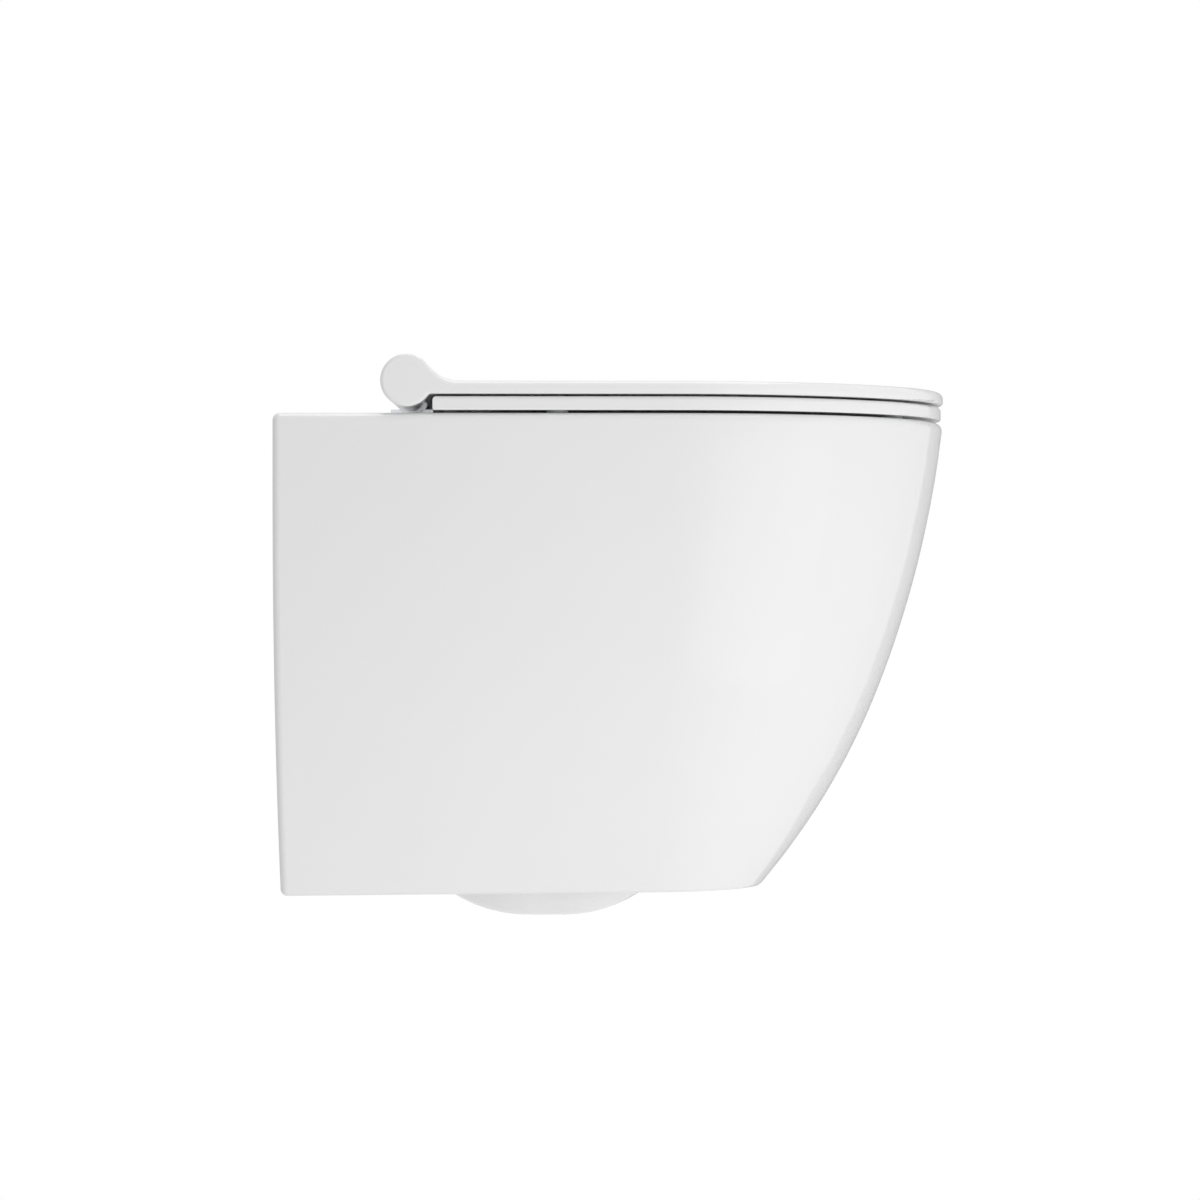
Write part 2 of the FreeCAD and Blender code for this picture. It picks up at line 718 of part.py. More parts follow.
def make_pan():
    """The one ceramic piece: skirt, deck, bowl, trap, inlet, outlet and fixing holes."""
    skirt, plate = pan_shell()
    wall = size("bowl_wall")
    band = mouth_prism("BandOuter", wall, size("deck_thickness / 2"), size("band_depth") + wall)
    bowl = bowl_loft("BowlOuter", wall + size("overrun"), wall)
    throat = size("throat_depth")
    tube = trap_tube("TrapOuter", "trap_bore + trap_wall", throat, size("spigot_end"))
    spigot = cylinder("Spigot", "spigot_radius", "spigot_length + trap_wall / 2", FORWARD,
                      forward="spigot_setback", up="-outlet_drop")
    inlet, casing, inlet_bore, duct = flush_channel()
    boss = cylinder("FixingBoss", "boss_radius", "boss_length - rear_wall / 2", FORWARD,
                    side="bolt_spacing / 2", forward="rear_wall / 2")
    body = fuse("PanBody", skirt, plate, band, bowl, tube, spigot, inlet, casing,
                boss, mirrored("FixingBossLeft", boss))
    mouth = mouth_prism("Mouth", 0, -size("overrun"), size("band_depth"))
    basin = bowl_loft("Basin", 0, 0)
    passage = trap_tube("TrapPassage", "trap_bore", throat - size("overrun"), -size("overrun"))
    hole = wall_hole("FixingHole", "bush_radius + press_gap", "boss_length + 2 * overrun")
    seat_hole = cylinder("SeatHole", "seat_hole_radius", "deck_thickness + 2 * overrun",
                         side="hinge_spacing / 2", forward="hinge_forward",
                         up="rim_height - deck_thickness - overrun")
    open_body = cut("PanOpen", body, mouth, basin, passage, inlet_bore, duct, hole,
                    mirrored("FixingHoleLeft", hole), seat_hole,
                    mirrored("SeatHoleLeft", seat_hole))
    rim = size("rim_height")
    sideways = size("opening_width / 2 + overrun")
    rear = size("opening_back - overrun")
    front = size("opening_front + overrun")

    def on_mouth(edge):
        return lies_at(edge, rim) and all(abs(point.x) < sideways and rear < -point.y < front
                                          for point in samples(edge))

    pan = rounded("Pan", open_body, (on_mouth, "opening_rounding"))
    finish(pan, "ceramic_pan")


# ---------------------------------------------------------------- seat ring and lid

def seat_outline(name, up, width, reach, back):
    """The plan outline that the ring and the lid share with the rim."""
    half_width = size(width) / 2
    narrowing = size("flank_taper")
    return wire(name, seat_wire(size(up), half_width, size(reach), half_width - narrowing,
                                size("nose_centre"), size(back)))


def roll_section(name, width, side):
    """A length of the round hinge roll, centred sideways on side."""
    return cylinder(name, "knuckle_radius", width, ALONG_X, side="(%s) - (%s) / 2" % (side, width),
                    forward="hinge_forward", up="rim_height + hinge_rise")


def axis_bore(name, radius, start, length, flip=False):
    """A rod on the hinge axis from a place beside the middle plane, outwards or inwards."""
    side = "(%s) - (%s)" % (start, length) if flip else start
    return cylinder(name, radius, length, ALONG_X, side=side,
                    forward="hinge_forward", up="rim_height + hinge_rise")


def buffer_places(inner_width, inner_front):
    """Places of the rear and front buffers, midway between an opening and the ring's edge."""
    half = "((ring_width + %s) / 4)" % inner_width
    length = "((ring_reach + %s) / 2 - nose_centre)" % inner_front
    turn = "front_buffer_turn * 1deg"
    front = ("%s * cos(%s)" % (half, turn), "nose_centre + %s * sin(%s)" % (length, turn))
    return ((half, "rear_buffer_forward"), front)


RING_BUFFERS = buffer_places("opening_width", "opening_front")
LID_BUFFERS = buffer_places("hole_width", "hole_front")


def buffer_rods(name, radius, height, up, places):
    """Four short rods, one at each buffer."""
    rods = []
    for index, (side, forward) in enumerate(places):
        for word, sign in SIDES:
            rods.append(cylinder("%s%s%d" % (name, word.title(), index), radius, height,
                                 side="%d * (%s)" % (sign, side), forward=forward, up=up))
    return rods


def make_ring():
    """The seat ring with the two knuckles that carry it."""
    low = size("ring_low")
    high = size("ring_low + ring_thickness")
    plate = raised("RingPlate", seat_outline("RingOutline", "ring_low", "ring_width",
                                             "ring_reach", "ring_back"), "ring_thickness")
    outline = oval_wire(size("ring_low - overrun"), size("hole_width / 2"), size("hole_back"),
                        size("hole_front"))
    hole = raised("RingHole", wire("RingHoleOutline", outline), "ring_thickness + 2 * overrun")
    flat = cut("RingFlat", plate, hole)

    def on_hole(edge):
        return all(abs(point.x) <= size("hole_width / 2") + CLOSE
                   and size("hole_front") + CLOSE > -point.y > size("hole_back") - CLOSE
                   for point in samples(edge))

    soft = rounded("RingSoft", flat,
                   (lambda edge: lies_at(edge, high) and on_hole(edge), "hole_rounding"),
                   (lambda edge: lies_at(edge, high), "ring_rounding"),
                   (lambda edge: lies_at(edge, low), "lower_rounding"))
    width = "(ring_knuckle_out - ring_knuckle_in)"
    middle = "(ring_knuckle_out + ring_knuckle_in) / 2"
    knuckle = roll_section("RingKnuckle", width, middle)
    arm = block("RingArm", width, "ring_back - hinge_forward + 2 * ring_rounding",
                "ring_thickness - arm_lift", middle, "hinge_forward", "ring_low + arm_lift")
    solid = fuse("RingSolid", soft, knuckle, mirrored("RingKnuckleLeft", knuckle),
                 arm, mirrored("RingArmLeft", arm))
    bush_bore = axis_bore("RingBushBore", "pivot_bush_radius + press_gap",
                          "ring_knuckle_out + overrun", "pivot_bush_length + end_gap + overrun",
                          flip=True)
    damper_bore = axis_bore("RingDamperBore", "damper_radius + press_gap",
                            "-ring_knuckle_out - overrun",
                            "ring_damper_length + end_gap + overrun")
    pockets = buffer_rods("RingPocket", "ring_buffer_radius + press_gap",
                          "buffer_pocket + overrun", "ring_low - overrun", RING_BUFFERS)
    ring = cut("Ring", solid, bush_bore, damper_bore, *pockets)
    finish(ring, "seat_ring")


def lid_profile():
    """The lid's side profile: flat slab, hollow curve on top, round roll, fillet below."""
    forward = size("hinge_forward")
    axis = size("rim_height + hinge_rise")
    radius = size("knuckle_radius")
    blend = size("roll_blend")
    fillet = size("roll_fillet")
    low = size("lid_low")
    high = size("lid_low + lid_thickness")
    front = size("lid_reach + overrun")

    def at(distance, up):
        return FreeCAD.Vector(-size("lid_width / 2 + overrun"), -distance, up)

    def touch(centre_forward, centre_up, reach):
        """The point on the roll that faces a neighbouring arc's centre."""
        return at(forward + (centre_forward - forward) * radius / reach,
                  axis + (centre_up - axis) * radius / reach)

    blend_up = high + blend
    blend_forward = forward + math.sqrt((radius + blend) ** 2 - (blend_up - axis) ** 2)
    fillet_up = low - fillet
    fillet_forward = forward + math.sqrt((radius + fillet) ** 2 - (axis - fillet_up) ** 2)
    top_touch = touch(blend_forward, blend_up, radius + blend)
    low_touch = touch(fillet_forward, fillet_up, radius + fillet)

    def arc_middle(centre, start, end):
        """The point halfway along the short arc between two points."""
        toward = (start - centre) + (end - centre)
        return centre + toward * ((start - centre).Length / toward.Length)

    blend_centre = at(blend_forward, blend_up)
    fillet_centre = at(fillet_forward, fillet_up)
    top_start = at(blend_forward, high)
    low_start = at(fillet_forward, low)
    edges = [
        Part.makeLine(at(front, high), top_start),
        Part.Arc(top_start, arc_middle(blend_centre, top_start, top_touch), top_touch).toShape(),
        Part.Arc(top_touch, at(forward - radius, axis), low_touch).toShape(),
        Part.Arc(low_touch, arc_middle(fillet_centre, low_touch, low_start), low_start).toShape(),
        Part.makeLine(low_start, at(front, low)),
        Part.makeLine(at(front, low), at(front, high)),
    ]
    return wire("LidProfile", Part.Wire(edges))


def lid_panel():
    """The solid that sets a panel with round corners into the lid's underside."""
    low = "lid_low - overrun"
    half_width = size("lid_width / 2 - lid_border")
    outline = seat_wire(size(low), half_width, size("lid_reach - lid_border"),
                        half_width - size("flank_taper"), size("nose_centre"),
                        size("lid_panel_back"))
    form = raised("LidPanelForm", wire("LidPanelOutline", outline), "lid_panel_depth + overrun")
    back = -size("lid_panel_back")
    ceiling = size("lid_low + lid_panel_depth")

    def at_corner(edge):
        return all(abs(point.y - back) < CLOSE for point in samples(edge)) and is_upright(edge)

    corners = rounded("LidPanelCorners", form, (at_corner, "lid_panel_corner"))
    return rounded("LidPanel", corners,
                   (lambda edge: lies_at(edge, ceiling), "lid_panel_rounding"))


def make_lid():
    """The lid: one slab with the hinge roll along its rear edge, notched for the posts."""
    bar = doc.addObject("Part::Extrusion", "LidBar")
    bar.Base = lid_profile()
    bar.DirMode = "Custom"
    bar.Dir = FreeCAD.Vector(1, 0, 0)
    bar.Solid = True
    bind(bar, LengthFwd="lid_width + 2 * overrun")
    prism = raised("LidPlan", seat_outline("LidOutline", "rim_height", "lid_width", "lid_reach",
                                           "hinge_forward - knuckle_radius - overrun"),
                   "hinge_rise + knuckle_radius + overrun")
    form = common("LidForm", bar, prism)
    flank = size("nose_width / 2 - overrun")
    nose = size("nose_centre + knuckle_radius")

    def on_side(edge):
        points = samples(edge)
        return (all(abs(point.x) > flank for point in points)
                or any(-point.y > nose for point in points))

    high = size("lid_low + lid_thickness")

    def on_top(edge):
        return on_side(edge) and all(point.z > high - CLOSE for point in samples(edge))

    soft = rounded("LidSoft", form, (on_top, "lid_rounding"), (on_side, "lid_lower_rounding"))
    notch = cylinder("LidNotch", "knuckle_radius + notch_clearance",
                     "hinge_spacing / 2 + post_width / 2 + knuckle_gap - centre_knuckle / 2",
                     ALONG_X, side="centre_knuckle / 2", forward="hinge_forward",
                     up="rim_height + hinge_rise")
    bush_bore = axis_bore("LidBushBore", "pivot_bush_radius + press_gap",
                          "-lid_knuckle_in + overrun", "pivot_bush_length + end_gap + overrun",
                          flip=True)
    damper_bore = axis_bore("LidDamperBore", "damper_radius + press_gap",
                            "lid_knuckle_in - overrun",
                            "lid_damper_length + end_gap + overrun")
    pockets = buffer_rods("LidPocket", "lid_buffer_radius + press_gap",
                          "buffer_pocket + overrun", "lid_low - overrun", LID_BUFFERS)
    lid = cut("Lid", soft, notch, mirrored("LidNotchLeft", notch), bush_bore, damper_bore,
              lid_panel(), *pockets)
    finish(lid, "seat_lid")


# ---------------------------------------------------------------- hinge

def make_post(word, sign):
    """A chromed hinge post: round head on a short foot, bored for its pin, stud and grub screw."""
    name = "Post" + word.title()
    body = new_body(name)
    head = sketch_on(body, name + "Head", "YZ_Plane")
    draw_circle(head, "knuckle_radius")
    add_pad(body, head, "post_width", midplane=True)
    foot = sketch_on(body, name + "Foot", "YZ_Plane")
    base = "-(hinge_rise - gasket_thickness - rosette_thickness)"
    top = "%s + foot_height" % base
    draw_outline(foot, [("-foot_front", base), ("foot_back", base),
                        ("foot_back", top), ("-foot_front", top)])
    foot_pad = add_pad(body, foot, "post_width", midplane=True)
    doc.recompute()
    edges = []
    for index, edge in enumerate(foot_pad.Shape.Edges, start=1):
        if is_upright(edge) and edge.BoundBox.ZLength > size("foot_height") - CLOSE:
            edges.append("Edge%d" % index)
    corners = body.newObject("PartDesign::Fillet", name + "Corners")
    corners.Base = (foot_pad, edges)
    bind(corners, Radius="foot_rounding")
    eye = sketch_on(body, name + "Eye", "YZ_Plane")
    draw_circle(eye, "pin_radius + press_gap")
    add_pocket(body, eye)
    stud = sketch_on(body, name + "Stud", "XY_Plane")
    draw_circle(stud, "stud_radius + press_gap")
    stud_hole = body.newObject("PartDesign::Pocket", name + "StudHole")
    stud_hole.Profile = stud
    bind(stud_hole, Length="hinge_rise")
    grub = sketch_on(body, name + "Grub", "XZ_Plane")
    draw_circle(grub, "grub_radius + press_gap")
    grub_hole = body.newObject("PartDesign::Pocket", name + "GrubHole")
    grub_hole.Profile = grub
    bind(grub_hole, Length="knuckle_radius + overrun")
    place(body, side="%d * hinge_spacing / 2" % sign, forward="hinge_forward",
          up="rim_height + hinge_rise")
    finish(body, "hinge_post_" + word)


def make_pin(word, sign):
    """A steel pin through the post into the knuckles on both sides."""
    start = "ring_knuckle_out - pin_in_ring"
    length = "lid_knuckle_in + pin_in_lid - (%s)" % start
    side = start if sign > 0 else "-(lid_knuckle_in + pin_in_lid)"
    pin = cylinder("Pin" + word.title(), "pin_radius", length, ALONG_X, side=side,
                   forward="hinge_forward", up="rim_height + hinge_rise")
    finish(pin, "hinge_pin_" + word)


def make_grub_screws():
    """Grub screws from the back of the posts that lock the pins."""
    screw = cylinder("GrubScrew", "grub_radius",
                     "knuckle_radius - grub_sink - pin_radius - press_gap", FORWARD,
                     side="hinge_spacing / 2",
                     forward="hinge_forward - knuckle_radius + grub_sink",
                     up="rim_height + hinge_rise")
    finish(group("GrubScrews", screw, mirrored("GrubScrewLeft", screw)), "post_grub_screws")


def make_damper(word, length, pin_length, side):
    """A soft-close damper: a closed cup in the knuckle and the rotor that its pin holds still."""
    name = word.title() + "Damper"
    bore = "(damper_radius - damper_wall)"
    cup_floor = "(%s - damper_end)" % length
    cup = turned(name + "Cup", [(bore, "0"), ("damper_radius", "0"), ("damper_radius", length),
                                ("0", length), ("0", cup_floor), (bore, cup_floor)])
    socket = "(pin_radius + press_gap)"
    socket_end = "(%s + end_gap)" % pin_length
    rotor_radius = "(%s - running_gap)" % bore
    rotor_end = "(%s - end_gap)" % cup_floor
    rotor = turned(name + "Rotor", [(socket, "0"), (rotor_radius, "0"), (rotor_radius, rotor_end),
                                    ("0", rotor_end), ("0", socket_end), (socket, socket_end)])
    for body, label in ((cup, "housing"), (rotor, "rotor")):
        place(body, ALONG_X, side=side, forward="hinge_forward", up="rim_height + hinge_rise")
        finish(body, "%s_damper_%s" % (word, label))


def make_pivot_bush(word, side):
    """A plain nylon bush, pressed into a knuckle and turning on its pin."""
    bush = washer(word.title() + "PivotBush", "pin_radius + running_gap", "pivot_bush_radius",
                  "pivot_bush_length")
    place(bush, ALONG_X, side=side, forward="hinge_forward", up="rim_height + hinge_rise")
    finish(bush, word + "_pivot_bush")


# ---------------------------------------------------------------- seat fixings

def washer(name, inner, outer, thickness):
    """A flat ring."""
    return turned(name, [(inner, "0"), (outer, "0"), (outer, thickness), (inner, thickness)])


def on_stud(body, up):
    """Set a turned body on the right-hand seat stud at a height."""
    return place(body, side="hinge_spacing / 2", forward="hinge_forward", up=up)


def finish_pair(body, label):
    """Finish a piece and its mirror image as one group."""
    finish(group(label.title().replace("_", ""), body, mirrored(body.Name + "Left", body)), label)


def make_rosettes():
    """Round cover plates under the posts, with a bevelled edge."""
    bevel = "(rosette_thickness / 3)"
    hole = "(stud_radius + stud_gap)"
    for word, sign in SIDES:
        plate = turned("Rosette" + word.title(), [
            (hole, "0"), ("rosette_radius", "0"),
            ("rosette_radius", "rosette_thickness - %s" % bevel),
            ("rosette_radius - %s" % bevel, "rosette_thickness"), (hole, "rosette_thickness")])
        place(plate, side="%d * hinge_spacing / 2" % sign, forward="hinge_forward",
              up="rim_height + gasket_thickness")
        finish(plate, "hinge_rosette_" + word)


def make_seat_fixings():
    """What holds the posts down: gaskets, studs, rubber cones, washers and wing nuts."""
    hole = "(stud_radius + stud_gap)"
    gasket = washer("Gasket", hole, "gasket_radius", "gasket_thickness")
    finish_pair(on_stud(gasket, "rim_height"), "hinge_gaskets")
    for word, sign in SIDES:
        stud = cylinder("Stud" + word.title(), "stud_radius", "stud_top - stud_bottom",
                        side="%d * hinge_spacing / 2" % sign, forward="hinge_forward",
                        up="stud_bottom")
        finish(stud, "hinge_stud_" + word)
    cone_top = "(cone_flange + cone_in_hole)"
    cone = turned("Cone", [
        (hole, "0"), ("cone_flange_radius", "0"), ("cone_flange_radius", "cone_flange"),
        ("seat_hole_radius - press_gap", "cone_flange"), ("cone_tip_radius", cone_top),
        (hole, cone_top)])
    finish_pair(on_stud(cone, "cone_low"), "stud_cones")
    plate = washer("StudWasher", hole, "stud_washer_radius", "stud_washer_thickness")
    finish_pair(on_stud(plate, "cone_low - stud_washer_thickness"), "stud_washers")
    finish_pair(on_stud(wing_nut(), "wing_low"), "wing_nuts")


def wing_nut():
    """A moulded wing nut: round hub, two wings that fall away to their ends, one bore."""
    body = new_body("WingNut")
    hub = sketch_on(body, "WingHub", "XY_Plane")
    draw_circle(hub, "wing_hub_radius")
    add_pad(body, hub, "wing_hub_height")
    wings = sketch_on(body, "Wings", "XZ_Plane")
    draw_outline(wings, [
        ("-wing_span / 2", "0"), ("wing_span / 2", "0"), ("wing_span / 2", "wing_tip"),
        ("wing_hub_radius", "wing_root"), ("-wing_hub_radius", "wing_root"),
        ("-wing_span / 2", "wing_tip")])
    add_pad(body, wings, "wing_thickness", midplane=True)
    bore = sketch_on(body, "WingBore", "XY_Plane")
    draw_circle(bore, "stud_radius + press_gap")
    add_pocket(body, bore)
    return body


# ---------------------------------------------------------------- buffers and wall fixings

def make_buffers():
    """Rubber buffers, four pressed into the ring and four into the lid."""
    ring_rods = buffer_rods("RingBuffer", "ring_buffer_radius",
                            "seat_gap - buffer_seat + buffer_pocket", "rim_height + buffer_seat",
                            RING_BUFFERS)
    finish(group("RingBuffers", *ring_rods), "ring_buffers")
    lid_rods = buffer_rods("LidBuffer", "lid_buffer_radius",
                           "lid_gap - buffer_seat + buffer_pocket",
                           "lid_low - lid_gap + buffer_seat", LID_BUFFERS)
    finish(group("LidBuffers", *lid_rods), "lid_buffers")


def on_bolt(body, forward):
    """Set a piece on the right-hand wall fixing, facing forwards from a distance."""
    return place(body, FORWARD, side="bolt_spacing / 2", forward=forward)


def make_wall_fixings():
    """Nylon bushes, washers and nuts of the two wall fixings."""
    whole = "(boss_length + bush_flange)"
    bush = turned("WallBush", [
        ("bush_bore", "0"), ("bush_radius", "0"), ("bush_radius", "boss_length"),
        ("bush_flange_radius", "boss_length"), ("bush_flange_radius", whole),
        ("bush_bore", whole)])
    finish_pair(on_bolt(bush, "0"), "wall_bushes")
    plate = washer("WallWasher", "bush_bore", "wall_washer_radius", "wall_washer_thickness")
    finish_pair(on_bolt(plate, "boss_length + bush_flange"), "wall_washers")
    hexagon = doc.addObject("Part::Prism", "WallNutHexagon")
    hexagon.Polygon = 6
    bind(hexagon, Circumradius="wall_nut_flats / sqrt(3)", Height="wall_nut_height")
    on_bolt(hexagon, "wall_nut_forward")
    bore = cylinder("WallNutBore", "wall_nut_bore", "wall_nut_height + 2 * overrun", FORWARD,
                    side="bolt_spacing / 2", forward="wall_nut_forward - overrun")
    finish_pair(cut("WallNut", hexagon, bore), "wall_nuts")


# ---------------------------------------------------------------- whole part

def check_document():
    """Stop if anything in the document failed or a finished piece is not a sound solid."""
    for thing in doc.Objects:
        if {"Invalid", "Error"} & set(thing.State):
            raise RuntimeError("%s did not compute" % thing.Name)
    for piece in finished:
        shape = piece.Shape
        if shape.isNull() or not shape.isValid() or not shape.Solids:
            raise RuntimeError("%s is not a sound solid" % piece.Label)


def write_pieces():
    """Write one file for each finished piece."""
    os.makedirs("parts", exist_ok=True)
    for piece in finished:
        piece.Shape.exportStep("parts/%s.step" % piece.Label)
        print("%-22s %d solid(s) %9.2f cm3" % (
            piece.Label, len(piece.Shape.Solids), piece.Shape.Volume / 1000))


make_pan()
make_ring()
make_lid()
for word, sign in SIDES:
    make_post(word, sign)
    make_pin(word, sign)
make_grub_screws()
make_damper("lid", "lid_damper_length", "pin_in_lid", "lid_knuckle_in")
make_damper("ring", "ring_damper_length", "pin_in_ring", "-ring_knuckle_out")
make_pivot_bush("lid", "-lid_knuckle_in - pivot_bush_length")
make_pivot_bush("ring", "ring_knuckle_out - pivot_bush_length")
make_rosettes()
make_seat_fixings()
make_buffers()
make_wall_fixings()
doc.recompute()
check_document()
write_pieces()
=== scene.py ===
"""Wall hung toilet: finishes, fine pieces and stage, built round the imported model.

Metres, +Z up. The wall is the plane Y = 0 and the pan reaches towards -Y. The origin is midway
between the two wall fixing holes.
"""

import math

import bmesh
import bpy
from mathutils import Matrix, Vector


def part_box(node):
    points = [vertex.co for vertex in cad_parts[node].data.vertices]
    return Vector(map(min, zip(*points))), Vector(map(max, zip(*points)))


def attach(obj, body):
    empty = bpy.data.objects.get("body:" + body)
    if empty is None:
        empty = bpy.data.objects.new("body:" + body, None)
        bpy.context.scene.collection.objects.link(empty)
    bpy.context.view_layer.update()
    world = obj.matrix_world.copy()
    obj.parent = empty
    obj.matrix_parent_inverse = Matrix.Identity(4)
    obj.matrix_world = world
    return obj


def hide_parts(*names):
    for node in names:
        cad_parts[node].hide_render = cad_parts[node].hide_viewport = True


bl_info = {
    "name": "Wall Hung Toilet",
    "version": (1, 0, 0),
    "blender": (4, 5, 0),
    "location": "3D View > Sidebar > Toilet",
    "description": "Finishes, fine pieces and stage of a wall hung toilet with a soft-close seat",
    "category": "Object",
}

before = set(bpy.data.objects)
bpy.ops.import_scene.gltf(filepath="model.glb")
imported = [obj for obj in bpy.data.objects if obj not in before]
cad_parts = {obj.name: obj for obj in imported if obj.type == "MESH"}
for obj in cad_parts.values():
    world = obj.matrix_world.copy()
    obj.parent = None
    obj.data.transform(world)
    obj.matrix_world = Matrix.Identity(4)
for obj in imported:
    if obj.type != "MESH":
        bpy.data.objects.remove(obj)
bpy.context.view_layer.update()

MM = 0.001
WELD = 1e-5                            # metres; corners nearer than this are one
ON_CUT = 1e-7                          # metres; corners nearer than this lie on a cut
SORT_DECIMALS = 5                      # of a metre, when solids are put in order
SHARP_TURN = math.radians(35)          # edges that turn further than this stay crisp
EDGE_STEPS = 3                         # facets across a small rounded edge
BUFFER_STEPS = 5                       # facets across the wide rounding of a buffer
LEAD_TURNS = 2                         # turns of thread beyond each end of a stud, then cut off
Y, Z = 1, 2                            # numbers of these axes in a place
QUARTER, SIXTH = math.tau / 4, math.tau / 6
MIX_A, MIX_B, MIX_RESULT = 6, 7, 2     # the colour sockets of a Mix node


# ---------------------------------------------------------------- properties

def linear(hex_colour):
    """Turn an sRGB hex colour into the linear RGBA that shaders take."""
    channels = [int(hex_colour[start:start + 2], 16) / 255 for start in (1, 3, 5)]
    light = [value / 12.92 if value <= 0.04045 else ((value + 0.055) / 1.055) ** 2.4
             for value in channels]
    return (*light, 1.0)


def colour(name, description, hex_colour):
    """A colour property whose default is an sRGB hex value."""
    return bpy.props.FloatVectorProperty(
        name=name, description=description, subtype="COLOR", size=4, min=0, max=1,
        default=linear(hex_colour))


def length(name, description, millimetres):
    """A length property whose default is given in millimetres."""
    return bpy.props.FloatProperty(
        name=name, description=description, subtype="DISTANCE", unit="LENGTH",
        default=millimetres * MM)


def spot(name, description, *millimetres):
    """A property for a place, whose default is given in millimetres."""
    return bpy.props.FloatVectorProperty(
        name=name, description=description, subtype="XYZ", unit="LENGTH", size=3,
        default=[value * MM for value in millimetres])


def power(name, description, watts):
    """A property for a lamp's power."""
    return bpy.props.FloatProperty(
        name=name, description=description, subtype="POWER", unit="POWER", default=watts, min=0)


class ToiletFinish(bpy.types.PropertyGroup):
    """Colours of the finishes."""

    glaze: colour("Glaze", "White glaze of the pan", "#EEEEEE")
    biscuit: colour("Biscuit", "Bare fired body where the pan meets the wall", "#E8E3DA")
    seat: colour("Seat", "White urea plastic of the ring and lid", "#EFEFEF")
    chrome: colour("Chrome", "Chrome plating of the hinge posts and rosettes", "#D6D8DB")
    steel: colour("Steel", "Stainless steel of the hinge pins and studs", "#B9B8B4")
    zinc: colour("Zinc", "Zinc plating of the washers and nuts", "#B4B9BD")
    blackened: colour("Blackened steel", "Oiled black grub screws", "#2A2A2B")
    acetal: colour("Acetal", "Grey damper housings", "#8C8E90")
    rotor: colour("Rotor", "Natural white damper rotors", "#E3E2DC")
    nylon: colour("Nylon", "Natural nylon of the bushes and wing nuts", "#E2DECF")
    milky_rubber: colour("Milky rubber", "Buffers of the ring and lid, and gaskets", "#E6E7E4")
    black_rubber: colour("Black rubber", "Cones in the deck", "#1F1F20")


class ToiletDetail(bpy.types.PropertyGroup):
    """Sizes of the fine pieces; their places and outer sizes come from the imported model."""

    segments: bpy.props.IntProperty(
        name="Segments", description="Sides of a round piece", default=72, min=12)
    buffer_edge: length("Buffer edge", "Rounding of a buffer's face", 1.1)
    buffer_dimple: length("Buffer dimple", "Radius of the gate mark in a buffer's face", 1.6)
    buffer_sink: length("Buffer sink", "Depth of that mark", 0.35)
    thread_pitch: length("Thread pitch", "Pitch of the M8 studs", 1.25)
    thread_depth: length("Thread depth", "Crest to root of that thread", 0.7)
    stud_bore: length("Stud bore", "Radius of the bore in a wing nut", 4.2)
    hub_radius: length("Hub radius", "Hub of a wing nut", 9)
    hub_edge: length("Hub edge", "Rounding of the hub", 1.2)
    wing_thickness: length("Wing thickness", "Thickness of a wing", 4.5)
    wing_tip: length("Wing tip", "Height of a wing at its end", 4.7)
    wing_root: length("Wing root", "Height of a wing at the hub", 12.6)
    wing_edge: length("Wing edge", "Rounding of the wings", 1.4)
    socket: length("Socket", "Across the flats of a grub screw's socket", 2.5)
    socket_depth: length("Socket depth", "Depth of that socket", 2.2)


class ToiletStage(bpy.types.PropertyGroup):
    """Places and levels of the stage."""

    camera_distance: length("Camera distance", "Camera from the middle plane", 2742)
    camera_forward: length("Camera forward", "Camera from the wall plane", 235.9)
    camera_drop: length("Camera drop", "Camera below the fixing holes", 50)
    lens: bpy.props.FloatProperty(
        name="Lens", description="Focal length on a 36 mm sensor", subtype="DISTANCE_CAMERA",
        unit="CAMERA", default=106.9)
    rim_above_floor: length("Rim above floor", "Height at which the pan is shown", 1400)
    floor_size: length("Floor size", "Side of the floor sheet", 8000)
    floor: colour("Floor", "Matt white floor", "#F4F4F4")
    floor_white: bpy.props.FloatProperty(
        name="Floor white", description="Share of plain white that the eye sees on the floor",
        subtype="FACTOR", default=0.9, min=0, max=1)
    daylight: bpy.props.FloatProperty(
        name="Daylight", description="Even light from all round", default=0.586, min=0)
    aim: spot("Aim", "Where the soft boxes point", 0, -360, -20)
    key: spot("Key", "Soft box that the glaze mirrors", -1607, -1661, -772)
    key_width: length("Key width", "Width of that soft box", 1950)
    key_height: length("Key height", "Height of that soft box", 1645)
    key_power: power("Key power", "Power of that soft box", 3)
    side: spot("Side", "Soft box ahead of the pan's side", -1350, -1400, -250)
    side_power: power("Side power", "Power of that soft box", 6.5)
    low: spot("Low", "Soft box that lifts the lower skirt", -1200, -900, -900)
    low_power: power("Low power", "Power of that soft box", 3.6)
    fill_size: length("Fill size", "Side of those two, which the glaze does not mirror", 1000)
    top: spot("Top", "Soft box overhead", 0, -400, 2200)
    top_power: power("Top power", "Power of that soft box", 18)
    top_size: length("Top size", "Side of that soft box", 1600)
    screen: colour("Screen", "Grey screen beyond the nose that the glaze mirrors", "#D0D0D0")
    screen_place: spot("Screen place", "Middle of that screen", 1900, -1300, 0)
    screen_turn: bpy.props.FloatProperty(
        name="Screen turn", description="Turn of that screen from facing the wall",
        subtype="ANGLE", unit="ROTATION", default=math.radians(63))
    screen_width: length("Screen width", "Width of that screen", 1600)
    screen_height: length("Screen height", "Height of that screen", 3000)


# ---------------------------------------------------------------- nodes

